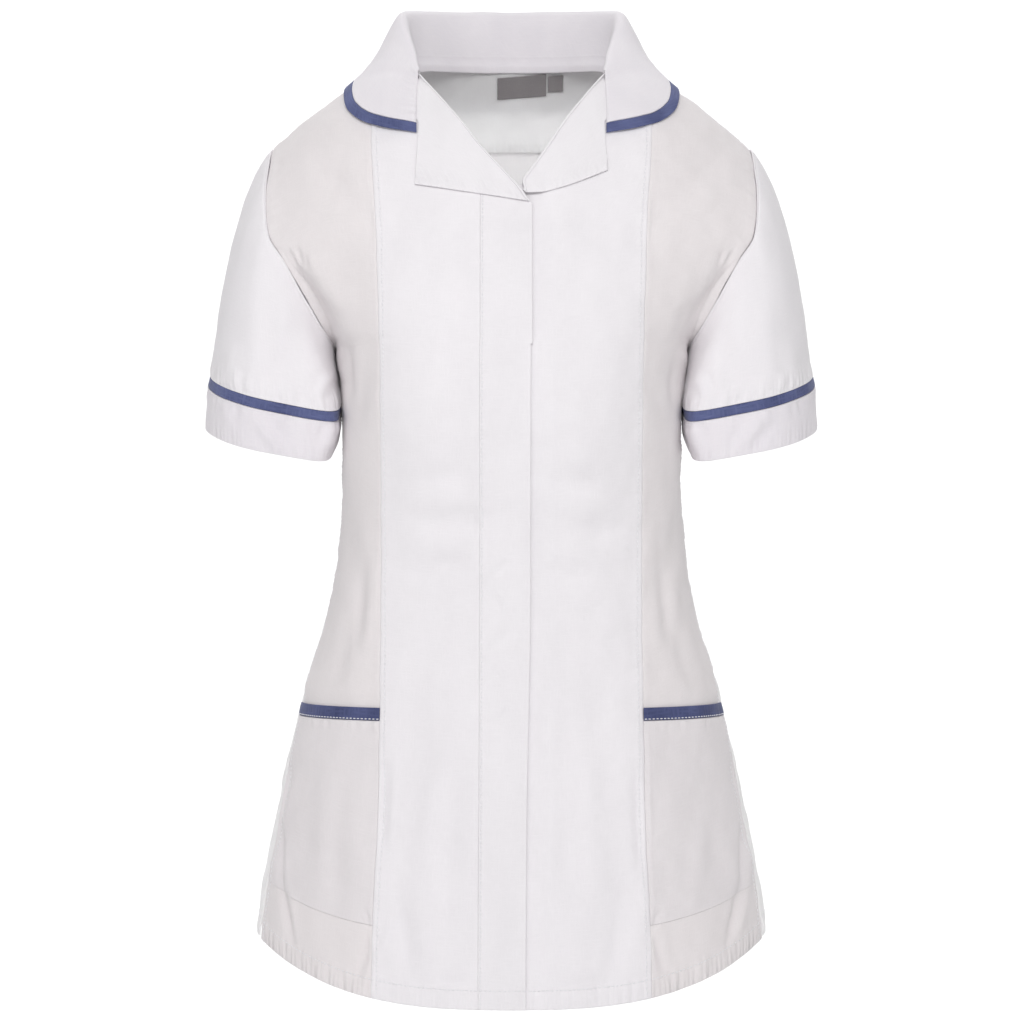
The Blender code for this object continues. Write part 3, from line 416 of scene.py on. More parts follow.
# Creases of the worn cloth, by the side that they lie on: place of the middle, length, half width, depth
# below the cloth, and lean from upright in degrees
Crease = namedtuple("Crease", "side x z length width depth lean")
CREASES_BY_SIDE = {
    FRONT: [
        (-148.5, -190, 106, 8.5, 8.0, -32),
        (-103, -640, 30, 2.4, 1.5, -24),
        (-96, -652, 26, 2.6, 1.1, 10),
        (103, -641, 30, 2.4, 1.4, 24),
        (-162, -157, 20, 2.0, 2.0, -24),
        (-156.5, -154, 18, 2.0, 1.8, -18),
        (-151, -158, 18, 2.2, 1.3, -14),
        (-131, -196, 46, 7.0, 1.8, -46),
        (-121.5, -240, 54, 4.5, 3.6, -4),
        (-111, -262, 60, 6.0, 1.6, 8),
        (149, -189, 102, 8.5, 7.4, 33),
        (162, -156, 18, 2.0, 1.8, 22),
        (155, -156, 18, 2.2, 1.4, 16),
        (132, -197, 44, 7.5, 1.7, 44),
        (121, -242, 50, 4.5, 3.3, 5),
        (109, -266, 54, 6.0, 1.5, -10),
        (-112, -408, 104, 5.0, 2.7, 3),
        (-120, -372, 70, 6.0, 1.9, -4),
        (-124, -442, 84, 6.0, 1.6, 13),
        (113, -402, 110, 5.0, 2.6, -4),
        (121, -366, 66, 6.0, 1.8, 5),
        (126, -446, 80, 6.0, 1.5, -14),
        (-93, -556, 96, 3.6, 2.4, 1),
        (92, -566, 104, 3.6, 2.3, -2),
        (-78, -646, 104, 8.0, 3.0, -9),
        (77, -642, 110, 8.0, 2.8, 10),
        (-106, -664, 48, 3.4, 2.2, 17),
        (107, -664, 44, 3.4, 2.0, -18),
        (-44, -680, 40, 4.0, 1.8, 78),
        (52, -683, 44, 4.0, 1.7, -80),
        (-170, -556, 66, 3.0, 3.4, 12),
        (-172, -600, 66, 3.0, 4.2, -1),
        (-166, -640, 56, 3.2, 3.8, -15),
        (170, -552, 66, 3.0, 3.2, -11),
        (172, -598, 68, 3.0, 4.2, 2),
        (165, -640, 56, 3.2, 3.8, 16),
        (-150, -570, 110, 8.0, 1.9, 3),
        (148, -576, 120, 9.0, 2.0, -4),
        (-128, -600, 90, 8.0, 1.5, -3),
        (127, -592, 96, 8.0, 1.4, 4),
        (-52, -318, 64, 9.0, 2.6, 80),
        (-44, -350, 76, 10.0, 2.9, 86),
        (-56, -384, 66, 9.0, 2.4, 76),
        (48, -324, 60, 9.0, 2.6, -78),
        (58, -356, 72, 10.0, 2.9, -86),
        (42, -388, 60, 9.0, 2.2, -82),
        (-70, -540, 200, 12.0, 3.0, 4),
        (-46, -580, 170, 10.0, 2.7, 2),
        (42, -560, 190, 11.0, 2.7, -2),
        (68, -540, 190, 12.0, 2.8, -5),
        (-8, -384, 24, 3.4, 1.7, 48),
        (-12, -408, 26, 3.4, 1.7, -40),
        (-6, -434, 26, 3.6, 1.7, 52),
        (-10, -462, 24, 3.4, 1.5, -46),
        (-7, -492, 26, 3.4, 1.5, 40),
        (-124, -104, 76, 9.0, 2.4, -22),
        (-140, -92, 60, 8.0, 1.9, -34),
        (126, -106, 72, 9.0, 2.2, 24),
        (142, -96, 56, 8.0, 1.8, 36),
        (-104, -126, 60, 7.0, 1.3, -10),
        (104, -130, 56, 7.0, 1.3, 12),
    ],
    ARM_FRONT: [
        (-141, -250, 30, 3.8, 2.4, 19),
        (-150, -246, 26, 4.0, 1.5, 12),
        (-190, -226, 80, 9.0, 2.4, 9),
        (-172, -214, 70, 8.0, 2.0, 15),
        (-208, -236, 60, 7.0, 1.8, 5),
        (-203, -244, 16, 2.6, 1.4, 2),
        (-194, -249, 14, 2.6, 1.2, -6),
        (-160, -256, 16, 2.6, 1.2, 8),
        (-180, -286, 42, 4.4, 3.2, -37),
        (-136, -286, 34, 3.8, 3.0, 16),
        (-152, -284, 30, 4.2, 1.4, -12),
        (-212, -268, 30, 4.0, 1.4, -20),
        (142, -251, 30, 3.8, 2.2, -18),
        (153, -244, 28, 4.2, 1.5, -10),
        (188, -224, 84, 9.0, 2.2, -10),
        (170, -218, 66, 8.0, 2.0, -17),
        (207, -234, 60, 7.0, 1.8, -5),
        (200, -246, 16, 2.6, 1.4, 4),
        (166, -256, 16, 2.6, 1.2, -7),
        (178, -284, 42, 4.4, 3.0, 34),
        (137, -287, 34, 3.8, 2.9, -16),
        (158, -285, 28, 4.2, 1.4, 14),
    ],
    ARM_BACK: [
        (-165, -200, 90, 7.0, 3.3, -22),
        (-186, -222, 80, 8.0, 2.7, 4),
        (-150, -236, 60, 5.0, 2.7, 14),
        (-176, -284, 36, 5.0, 2.0, 24),
        (164, -202, 86, 7.0, 3.3, 24),
        (188, -220, 84, 8.0, 2.7, -6),
        (150, -238, 56, 5.0, 2.5, -12),
        (174, -285, 36, 5.0, 2.0, -26),
    ],
    BACK: [
        (-146, -180, 86, 6.0, 3.2, -30),
        (-132, -208, 64, 7.0, 2.4, -46),
        (-122, -236, 50, 5.0, 2.2, -8),
        (-120, -130, 90, 10.0, 1.8, -24),
        (146, -180, 84, 6.0, 3.2, 31),
        (131, -209, 62, 7.0, 2.4, 48),
        (122, -238, 52, 5.0, 2.2, 7),
        (122, -128, 92, 10.0, 1.8, 26),
        (-72, -350, 70, 8.0, 1.8, 78),
        (-50, -372, 84, 9.0, 2.0, 84),
        (-80, -396, 70, 8.0, 1.6, 88),
        (62, -356, 74, 8.0, 1.8, -80),
        (46, -380, 84, 9.0, 1.9, -86),
        (78, -404, 66, 8.0, 1.5, -84),
        (-96, -560, 220, 14.0, 3.2, 6),
        (92, -566, 210, 14.0, 3.0, -7),
        (-48, -580, 190, 12.0, 2.2, 3),
        (44, -574, 190, 12.0, 2.2, -3),
        (-140, -590, 180, 10.0, 2.2, 8),
        (138, -594, 180, 10.0, 2.1, -9),
        (0, -600, 170, 10.0, 1.6, 0),
    ],
}
CREASES = [Crease(side, *row) for side, rows in CREASES_BY_SIDE.items() for row in rows]

# A crease is full over the middle of its length, widens along it, and has a low ridge beside it
CREASE_FULL = 0.15
CREASE_WIDENS = 0.35
CREASE_LIP = 0.35
CREASE_LIP_AT = 1.9

# Waves that roughen the cloth: wavelength in millimetres, direction in degrees, phase, and share of the
# height. Their lines bend slowly, up the cloth and across it
Wave = namedtuple("Wave", "length direction phase share")
WAVES = [
    Wave(61, 12, 0.3, 1.0),
    Wave(47, 74, 1.9, 0.8),
    Wave(38, 141, 4.2, 0.8),
    Wave(31, 33, 2.2, 0.6),
    Wave(26, 98, 5.1, 0.6),
    Wave(21, 160, 0.9, 0.45),
    Wave(17, 57, 3.6, 0.35),
    Wave(14, 119, 2.7, 0.3),
]
ROUGHEN = 0.5
BEND_UP = 0.9
BEND_UP_OVER = 83.0
BEND_ACROSS = 0.7
BEND_ACROSS_OVER = 57.0

# Waves of the puckers along a seam
PUCKER_WAVES = [
    Wave(9.3, 0, 0.4, 1.0),
    Wave(6.7, 0, 2.1, 0.7),
    Wave(13.1, 0, 4.4, 0.8),
    Wave(23.0, 0, 1.2, 0.6),
]
PUCKER_SWING = 1.3
PUCKER_SWING_OVER = 41.0
PUCKER_HIGHEST = 2.2


def creased(points, side):
    """How far the worn cloth lies below the form at points of a side. Side 0 has no creases."""
    x, z = points[..., 0], points[..., 2]
    depth = np.zeros_like(x)
    for fold in CREASES:
        here = np.equal(fold.side, side)
        if not here.any():
            continue
        lean = math.radians(fold.lean)
        along = (x - fold.x) * math.sin(lean) + (z - fold.z) * math.cos(lean)
        across = (x - fold.x) * math.cos(lean) - (z - fold.z) * math.sin(lean)
        taper = smooth(1.0, CREASE_FULL, np.abs(along) / (fold.length / 2))
        near = across / (fold.width * (1 + CREASE_WIDENS * along / fold.length))
        valley = np.exp(-near ** 2) - CREASE_LIP * np.exp(-(near - CREASE_LIP_AT) ** 2)
        depth += here * fold.depth * taper * valley
    return depth * bpy.context.scene.tunic.crease_depth


def roughened(flat):
    """Small slow unevenness of pressed cloth, at places of the flat cloth."""
    total = np.zeros(flat.shape[:-1])
    for wave in WAVES:
        turn = math.radians(wave.direction)
        walk = flat[..., 0] * math.cos(turn) + flat[..., 1] * math.sin(turn)
        bend = BEND_UP * np.sin(flat[..., 1] / BEND_UP_OVER + wave.phase)
        bend = bend + BEND_ACROSS * np.sin(flat[..., 0] / BEND_ACROSS_OVER - wave.phase)
        total += wave.share * np.sin(2 * math.pi * walk / wave.length + wave.phase + bend)
    return ROUGHEN * total / 2


def puckered(walk, seed=0.0):
    """Uneven puckers along a seam, from -1 to 1, at places along it."""
    total = np.zeros_like(walk)
    for wave in PUCKER_WAVES:
        swing = PUCKER_SWING * np.sin(walk / PUCKER_SWING_OVER + wave.phase + seed)
        total += wave.share * np.sin(2 * math.pi * walk / wave.length + wave.phase + seed * 3 + swing)
    return total / PUCKER_HIGHEST


def lengths_along(path):
    """How far along a path of points each one lies."""
    return np.concatenate([[0], np.cumsum(np.linalg.norm(np.diff(path, axis=0), axis=1))])


def places_at(wanted, walked, path):
    """Points of a path at wanted lengths, where walked gives the length at each of its points."""
    return np.stack([np.interp(wanted, walked, path[:, axis]) for axis in range(3)], axis=1)


def marks_between(width, step=STEP, low=EDGE_MARKS, high=EDGE_MARKS):
    """Places from 0 to 1 over a width, closer together at its marked ends."""
    first = np.array(low) if low else np.array([0.0])
    last = width - np.array(high)[::-1] if high else np.array([width])
    count = max(int((last[0] - first[-1]) / step), 2)
    middle = np.linspace(first[-1], last[0], count + 1)[1:-1]
    return np.concatenate([first, middle, last]) / width


DENSE_POINTS = 241


def lengthwise(low, high, levels, side, parts):
    """Turns that cut each level between two edges at the given parts of its length."""
    dense = np.linspace(0, 1, DENSE_POINTS)
    turns = low[:, None] + (high - low)[:, None] * dense
    points = form(turns, levels[:, None], side)
    steps = np.linalg.norm(np.diff(points, axis=1), axis=2)
    walked = np.concatenate([np.zeros((len(levels), 1)), np.cumsum(steps, axis=1)], axis=1)
    rows = []
    for row, total in enumerate(walked[:, -1]):
        rows.append(np.interp(parts(total) * total, walked[row], turns[row]))
    return np.array(rows)


class Lay:
    """A grid of points on the flat cloth's own rows and columns, with its distances from its edges."""

    def __init__(self, points, facing=1, tube=False):
        self.points = points
        self.tube = tube
        over = np.linalg.norm(np.diff(points, axis=1), axis=2)
        up = np.linalg.norm(np.diff(points, axis=0), axis=2)
        self.across = np.pad(np.cumsum(over, axis=1), ((0, 0), (1, 0)))
        self.up = np.pad(np.cumsum(up, axis=0), ((1, 0), (0, 0)))
        self.left = self.across[:, -1:] - self.across
        self.down = self.up[-1:] - self.up
        if tube:
            wrapped = np.concatenate([points[:, -2:-1], points, points[:, 1:2]], axis=1)
            around = (wrapped[:, 2:] - wrapped[:, :-2]) / 2
        else:
            around = np.gradient(points, axis=1)
        along = np.gradient(points, axis=0)
        normal = np.cross(around, along)
        normal /= np.maximum(np.linalg.norm(normal, axis=2, keepdims=True), 1e-9)
        self.normal = normal * facing

    def flat(self):
        """Places on the flat cloth, in millimetres, with the middle column straight."""
        middle = self.across.shape[1] // 2
        return np.stack([self.across - self.across[:, middle:middle + 1], self.up], axis=-1)

    def size(self):
        """Greatest width and length of the flat cut and its area, in metres."""
        over = np.linalg.norm(np.diff(self.points, axis=1), axis=2)
        up = np.linalg.norm(np.diff(self.points, axis=0), axis=2)
        area = (over[:-1] + over[1:]) / 2 * (up[:, :-1] + up[:, 1:]) / 2
        return self.across[:, -1].max() * MM, self.up[-1].max() * MM, area.sum() * MM * MM

    def edges(self):
        """Names of the edges that the cloth ends at."""
        return ("up", "down") if self.tube else ("up", "down", "across", "left")


# Rounding of an edge, sewn or free: how far it reaches and how deep it goes, as shares of half the thickness
SEWN_REACH = 0.4
SEWN_ROUND = 0.12
FREE_REACH = 1.3
FREE_ROUND = 0.82


def thicken(lay, lift, thick, finishes):
    """Outside and inside points of a cloth of a thickness, raised by lift, with its edges rounded off."""
    half = thick / 2
    rounding = np.zeros_like(lift)
    for edge in lay.edges():
        sewn = edge in finishes and finishes[edge].dip > 0
        near = np.clip(getattr(lay, edge) / (half * (SEWN_REACH if sewn else FREE_REACH)), 0.0, 1.0)
        curve = 1 - np.sqrt(np.maximum(1 - (1 - near) ** 2, 0.0))
        rounding = np.maximum(rounding, (SEWN_ROUND if sewn else FREE_ROUND) * half * curve)
    outside = lay.points + lay.normal * (lift - rounding)[..., None]
    inside = lay.points + lay.normal * (lift - thick + rounding)[..., None]
    return outside, inside


def slab(columns, rows, tube):
    """A flat slab one unit wide and long. Its top is at z 0 and its underside at z -1."""
    mesh = bmesh.new()
    bmesh.ops.create_grid(mesh, x_segments=columns, y_segments=rows, size=0.5)
    bmesh.ops.translate(mesh, verts=mesh.verts[:], vec=(0.5, 0.5, 0))
    copied = bmesh.ops.extrude_face_region(mesh, geom=mesh.faces[:])
    under = [part for part in copied["geom"] if isinstance(part, bmesh.types.BMVert)]
    bmesh.ops.translate(mesh, verts=under, vec=(0, 0, -1))
    if tube:
        ends = [face for face in mesh.faces
                if max(abs(vert.co.x - face.verts[0].co.x) for vert in face.verts) < 1e-5
                and min(face.verts[0].co.x, 1 - face.verts[0].co.x) < 1e-5]
        bmesh.ops.delete(mesh, geom=ends, context="FACES_ONLY")
    return mesh


def make_wall(name, outside, inside, flat, cloth, tube=False):
    """A closed wall of cloth between two grids of points in millimetres. Its UV map is its flat cut."""
    rows, columns = outside.shape[0] - 1, outside.shape[1] - 1
    mesh = slab(columns, rows, tube)
    mesh.loops.layers.uv.new("flat cloth")
    data = bpy.data.meshes.new(name)
    mesh.to_mesh(data)
    mesh.free()
    unit = np.empty(len(data.vertices) * 3)
    data.vertices.foreach_get("co", unit)
    unit = unit.reshape(-1, 3)
    column = np.rint(unit[:, 0] * columns).astype(int)
    row = np.rint(unit[:, 1] * rows).astype(int)
    placed = np.where(unit[:, 2:] > -0.5, outside[row, column], inside[row, column]) * MM
    data.vertices.foreach_set("co", placed.ravel())
    corners = np.empty(len(data.loops), int)
    data.loops.foreach_get("vertex_index", corners)
    data.uv_layers["flat cloth"].data.foreach_set("uv", (flat[row, column] * MM)[corners].ravel())
    mesh = bmesh.new()
    mesh.from_mesh(data)
    bpy.data.meshes.remove(data)
    if tube:
        bmesh.ops.remove_doubles(mesh, verts=mesh.verts[:], dist=1e-7)
    bmesh.ops.recalc_face_normals(mesh, faces=mesh.faces[:])
    if mesh.calc_volume(signed=True) < 0:
        bmesh.ops.reverse_faces(mesh, faces=mesh.faces[:])
    return finished(name, mesh, cloth)


def finished(name, mesh, cloth):
    """Put a bmesh into the scene as a piece that rides on the garment."""
    data = bpy.data.meshes.new(name)
    mesh.to_mesh(data)
    mesh.free()
    data.materials.append(cloth)
    data.shade_smooth()
    made = bpy.data.objects.new(name, data)
    bpy.context.scene.collection.objects.link(made)
    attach(made, "root")
    return made


# How an edge is finished, in millimetres: dip into the seam, ridge of the turnings under the cloth and its
# reach, distance of the row of stitches, depth of its groove, and height of the puckers
Finish = namedtuple("Finish", "dip ridge reach stitch groove pucker")
TOPSTITCHED = Finish(0.14, 0.3, 5.4, TOPSTITCH, 0.12, 0.22)
SEAMED = Finish(0.12, 0.1, 4.0, 0, 0, 0.16)
HEMMED = Finish(0, 0.35, 14.5, 13.6, 0.15, 0.4)
PLACKET_SEAM = Finish(0.14, 0.2, 6.4, 1.6, 0.1, 0.3)
SIDE_SEAM = Finish(0.15, 0.35, 7.0, 6.0, 0.1, 0.3)
YOKE_SEAM = Finish(0.2, 0.35, 5.0, 3.4, 0.15, 0.22)
SLEEVE_SEAM = Finish(0.15, 0.1, 4.0, 0, 0, 0.95)
SLEEVE_HEAD = Finish(0.05, 0.45, 2.2, 0, 0, 0.25)
TRIM_STITCH = Finish(0, 0, 0, 0.9, 0.12, 0.25)
CUFF_HEM = Finish(0, 0.2, 3.4, 2.6, 0.2, 0.2)
COLLAR_SEAM = Finish(0, 0.1, 13.4, 12.8, 0.2, 0.1)
REVERS_EDGE = Finish(0, 0.1, 5.0, 0, 0, 0.15)
POCKET_HEM = Finish(0.03, 0, 3.4, 0, 0, 0)
POCKET_MOUTH = Finish(0, 0, 0, 0, 0, 0.8)

# Widths over which a seam's dip, its turnings, a groove and the puckers fade
DIP_WIDTH = 0.9
TURNING_ROUND = 1.4
TURNING_PAST = 1.6
TURNING_SHORT = 0.4
GROOVE_WIDTH = 0.7
PUCKER_STARTS = 2.5
PUCKER_PAST = 6.0

# Near a sewn edge the creases keep only a share of their depth
HELD_DIP = 0.04
HELD_SHARE = 0.15
HELD_REACH = 4.0

# A row of a piece that is narrower than this many stitch distances gets no stitch
NARROWEST = 2.2


def edge_lift(distance, walk, finish, seed):
    """How far a finished edge raises the cloth at a distance from it, and a walk along it."""
    raised = -finish.dip * np.exp(-(distance / DIP_WIDTH) ** 2)
    if finish.reach:
        turning = smooth(finish.reach + TURNING_PAST, finish.reach - TURNING_SHORT, distance)
        raised += finish.ridge * turning * smooth(0, TURNING_ROUND, distance)
    if finish.stitch:
        raised -= finish.groove * np.exp(-((distance - finish.stitch) / GROOVE_WIDTH) ** 2)
    beyond = np.maximum(distance - finish.reach, 0.0) / PUCKER_PAST
    rising = smooth(0, PUCKER_STARTS, distance)
    return raised + finish.pucker * puckered(walk, seed) * rising * np.exp(-beyond ** 2)


def stitch_places(lay, surface, finish, edge):
    """Points of the row of stitches that lies along an edge."""
    from_edge = getattr(lay, edge)
    upright = edge in ("across", "left")
    if not upright:
        from_edge = from_edge.T
        surface = surface.transpose(1, 0, 2)
    row = []
    for measured, points in zip(from_edge, surface):
        if upright and measured.max() < finish.stitch * NARROWEST:
            continue
        order = np.argsort(measured)
        row.append([np.interp(finish.stitch, measured[order], points[order, axis]) for axis in range(3)])
    return np.array(row)


THREAD_PROUD = 0.05
sewn_rows = {}


def sew(name, path):
    """Keep a row of stitches for a piece of cloth, to be made with the rest of the sewing."""
    if len(path) > 2:
        sewn_rows.setdefault(name, []).append(path)


def cut(name, points, side, cloth, thick, finishes, facing=1, lift=0.0, tube=False, node=None, seed=0.0,
        roughness=1.0):
    """Make a piece of cloth from its grid of points on the form, and keep its rows of stitches."""
    lay = Lay(points, facing, tube)
    held = np.ones(points.shape[:2])
    for edge, finish in finishes.items():
        if finish.dip > HELD_DIP:
            held = held * (HELD_SHARE + (1 - HELD_SHARE) * smooth(0, HELD_REACH, getattr(lay, edge)))
    raised = lift - creased(points, side) * held
    walks = {"across": lay.up, "left": lay.up, "up": lay.across, "down": lay.across}
    for edge, finish in finishes.items():
        raised = raised + edge_lift(getattr(lay, edge), walks[edge], finish, seed + len(edge))
    raised = raised + roughness * roughened(world_cloth(points, side))
    outside, inside = thicken(lay, raised, thick, finishes)
    made = make_wall(name, outside, inside, lay.flat(), cloth, tube)
    if node:
        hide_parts(node)
    for edge, finish in finishes.items():
        if finish.stitch:
            row = stitch_places(lay, outside + lay.normal * THREAD_PROUD, finish, edge)
            sew(name, row[row[:, 2] < UNDERARM] if finish == SIDE_SEAM else row)
    made["flat_width"], made["flat_length"], made["flat_area"] = lay.size()
    return made


DEPTH_SLANT = 0.62
SIDES_APART = 300.0


def world_cloth(points, side):
    """Places at which the cloth's unevenness is read, the same for pieces that lie on each other."""
    over = points[..., 0] + DEPTH_SLANT * points[..., 1] + SIDES_APART * side
    return np.stack([over, points[..., 2]], axis=-1)


def declare(made):
    """Print a piece's flat width, length and area, the area at most width times length."""
    width, length, area = made["flat_width"], made["flat_length"], made["flat_area"]
    area = min(area, width * length)
    print(f"{made.name}: {width * 1000:.0f} x {length * 1000:.0f} mm, {area * 1e4:.0f} cm2")


# The marks at one edge of a row take up this share of it at most
MARKS_SHARE = 0.4


def spread(count, low=EDGE_MARKS):
    """Parts of a row's length at which its columns lie, closer together at its edges."""
    def marks(edge, total):
        return np.array(edge) * min(1.0, total * MARKS_SHARE / edge[-1])

    def parts(total):
        first = marks(low, total)
        last = total - marks(EDGE_MARKS, total)[::-1]
        middle = np.linspace(first[-1], last[0], count + 1)[1:-1]
        return np.concatenate([first, middle, last]) / total
    return parts


WAYS_TRIED = 3000


def fine_ways():
    """Ways up to the shoulder whose rows lie evenly on the cloth."""
    ways = np.linspace(0, 1, WAYS_TRIED + 1)
    longest = np.zeros(WAYS_TRIED)
    for side in (FRONT, BACK):
        for turn in (0.0, 40.0, 90.0):
            walk = np.linalg.norm(np.diff(form(turn, level_at(ways), side), axis=0), axis=1)
            longest = np.maximum(longest, walk)
    walked = np.concatenate([[0], np.cumsum(longest)])
    return np.interp(marks_between(walked[-1], STEP, None) * walked[-1], walked, ways)


HEM_MARKS = (0.0, 0.3, 0.8, 1.5, 3.0, 5.0, 7.2, 9.4, 11.4, 12.6, 13.2, 13.8, 14.4, 15.4, 17.2)
LOW_LEVELS = HEM + (UNDERARM - HEM) * marks_between(UNDERARM - HEM, STEP, HEM_MARKS, None)
WAYS = fine_ways()
LEVELS = np.concatenate([LOW_LEVELS[:-1], level_at(WAYS)])


def panel(low, high, levels, side, count):
    """Points of a panel between two edges, each a turn for every level."""
    turns = lengthwise(low, high, levels, side, spread(count))
    return form(turns, levels[:, None], side)


# Room that a front leaves for the roll of its revers, and how soon the room is full
FOLD_ROOM = 1.9
FOLD_ROOM_BY = 12
FOLD_ROOM_WAY = 0.06

# Columns of each panel
FRONT_RIGHT_COLUMNS = 26
PLACKET_COLUMNS = 10
FRONT_LEFT_COLUMNS = 50
SIDE_FRONT_COLUMNS = 52
BACK_COLUMNS = 62
BACK_START = (0.0, 2.4)

# Placket: its last two rows, its least width as a turn, and the bump of the stud behind its top
PLACKET_LAST_ROW = PLACKET_WAY - 0.006
PLACKET_NEXT_ROW = PLACKET_WAY - 0.008
PLACKET_LEAST_TURN = 0.8
STUD_X = -18.6
STUD_Z = -123.0
STUD_RISE = 0.35
STUD_SPREAD = 4.2


def right_inner(levels):
    """Inner edge of the lapping front: the placket's seam, and the roll line above it."""
    way = way_at(levels)
    x = np.minimum(placket_x(levels), lapping_edge(levels))
    rolled = way > PLACKET_WAY
    x = np.where(rolled & (way < GORGE_WAY), x - FOLD_ROOM, x)
    return inset(turn_at(x, levels), levels, FRONT, -SEAM)


def dip(points):
    """The under front drops behind the placket where the two lap."""
    depth = DOUBLE + LAP_GAP + LAP_SLACK
    under = smooth(DIP_FROM_X, DIP_TO_X, points[..., 0])
    return -depth * under * smooth(DIP_FROM_Z, DIP_TO_Z, points[..., 2])


def make_front_right(cloth):
    """The centre front that laps over."""
    low = inset(-princess(LEVELS), LEVELS, FRONT, SEAM)
    points = panel(low, right_inner(LEVELS), LEVELS, FRONT, FRONT_RIGHT_COLUMNS)
    made = cut("front_right_cloth", points, FRONT, cloth, SINGLE,
               {"across": TOPSTITCHED, "left": SEAMED, "up": HEMMED, "down": SEAMED}, node="front_right")
    declare(made)


def make_placket(cloth):
    """The fly placket down the edge of the lapping front."""
    levels = np.append(LEVELS[LEVELS < level_at(PLACKET_NEXT_ROW)], level_at(PLACKET_LAST_ROW))
    low = inset(turn_at(placket_x(levels), levels), levels, FRONT, SEAM)
    edge = lapping_edge(levels)
    past_break = levels - level_at(BREAK_WAY)
    edge = np.where(past_break > 0, edge - FOLD_ROOM * smooth(0, FOLD_ROOM_BY, past_break), edge)
    high = inset(turn_at(edge, levels), levels, FRONT, -SEAM)
    points = panel(low, np.maximum(high, low + PLACKET_LEAST_TURN), levels, FRONT, PLACKET_COLUMNS)
    over, up = (points[..., 0] - STUD_X) / STUD_SPREAD, (points[..., 2] - STUD_Z) / STUD_SPREAD
    stud = STUD_RISE * np.exp(-(over ** 2 + up ** 2))
    made = cut("placket_cloth", points, FRONT, cloth, DOUBLE,
               {"across": PLACKET_SEAM, "up": HEMMED}, node="placket", lift=stud, seed=1.0)
    declare(made)


def make_front_left(cloth):
    """The centre front that lies under."""
    edge = under_edge(LEVELS)
    way = way_at(LEVELS)
    edge = edge + FOLD_ROOM * smooth(BREAK_WAY, BREAK_WAY + FOLD_ROOM_WAY, way) * (way < GORGE_WAY)
    low = inset(turn_at(edge, LEVELS), LEVELS, FRONT, SEAM)
    high = inset(princess(LEVELS), LEVELS, FRONT, -SEAM)
    points = panel(low, high, LEVELS, FRONT, FRONT_LEFT_COLUMNS)
    made = cut("front_left_cloth", points, FRONT, cloth, SINGLE,
               {"left": TOPSTITCHED, "up": HEMMED, "down": SEAMED}, node="front_left",
               lift=dip(points), seed=2.0)
    declare(made)


def mirrored(points, sign):
    """Points of a piece on +X, taken over to -X where the sign is -1."""
    return points * np.array([sign, 1.0, 1.0])


# Pockets: their heights, and the room that a side front leaves for its pocket with the heights over which it
# sinks, sharply below the pocket's foot
POCKET_TOP = -496.0
POCKET_BOTTOM = -647.0
POCKET_TRIM_TOP = -486.5
POCKET_ROOM = 1.2
POCKET_ROOM_FOOT = (POCKET_BOTTOM - 0.21, POCKET_BOTTOM - 0.11)
POCKET_ROOM_HEAD = (POCKET_TRIM_TOP + 12, POCKET_TRIM_TOP - 2)
POCKET_FOOT_ROWS = POCKET_BOTTOM - np.array([1.6, 0.8, 0.4, 0.22, 0.1])


def pocket_room(levels):
    """How far the side front sinks under its pocket, so that the pocket's edges lie flush with it."""
    return -POCKET_ROOM * smooth(*POCKET_ROOM_FOOT, levels) * smooth(*POCKET_ROOM_HEAD, levels)


def make_side_front(cloth, word, sign):
    """A side front, from the princess seam to the side seam and armhole."""
    levels = np.unique(np.concatenate([LEVELS, POCKET_FOOT_ROWS]))
    low = inset(princess(levels), levels, FRONT, SEAM)
    points = panel(low, front_side_edge(levels), levels, FRONT, SIDE_FRONT_COLUMNS)
    made = cut("side_front_" + word + "_cloth", mirrored(points, sign), FRONT, cloth, SINGLE,
               {"across": SEAMED, "left": SIDE_SEAM, "up": HEMMED, "down": SEAMED}, facing=sign,
               node="side_front_" + word, seed=3.0 + sign, lift=pocket_room(levels[:, None]))
    declare(made)


# Back yoke: where its seam lies below the shoulder, its top and its greatest length
YOKE_DROP = 59.0
YOKE_DROP_SIDES = 24.0
YOKE_TOP_X = 180.5
YOKE_LONG = 104.0
YOKE_STEP = 3.0
SETTLING_ROUNDS = 6

# Box pleat: how high it stands, its edge and foot either side of the centre back, and the heights over which
# it is pressed open
PLEAT_RISE = 2.2
PLEAT_EDGE = 18.5
PLEAT_EDGE_FROM = PLEAT_EDGE + 0.6
PLEAT_FOOT = 22.0
PLEAT_FOOT_BY = PLEAT_FOOT - 0.4
PLEAT_FADES_FROM = -150.0
PLEAT_FADES_TO = -330.0

# Columns over the pleat, by x, and the way up from which the back's rows bend to meet the yoke's seam
PLEAT_COLUMNS = (0, 3, 6, 9, 12, 14.5, 16.5, 17.8, 18.6, 19.2, 19.8, 20.4, 21.0, 21.6, 22.4, 23.6, 25.2)
BACK_SEAM_FROM = 0.35
BACK_SEAM_GUESS = 0.6
BACK_TOP_WAY = 0.78
BACK_TOP_LONG = 60.0


def yoke_seam_way(x):
    """Way up of the seam between the back and its yoke."""
    return way_of(x, -YOKE_DROP - YOKE_DROP_SIDES * (x / SHOULDER_TIP_X) ** 2)


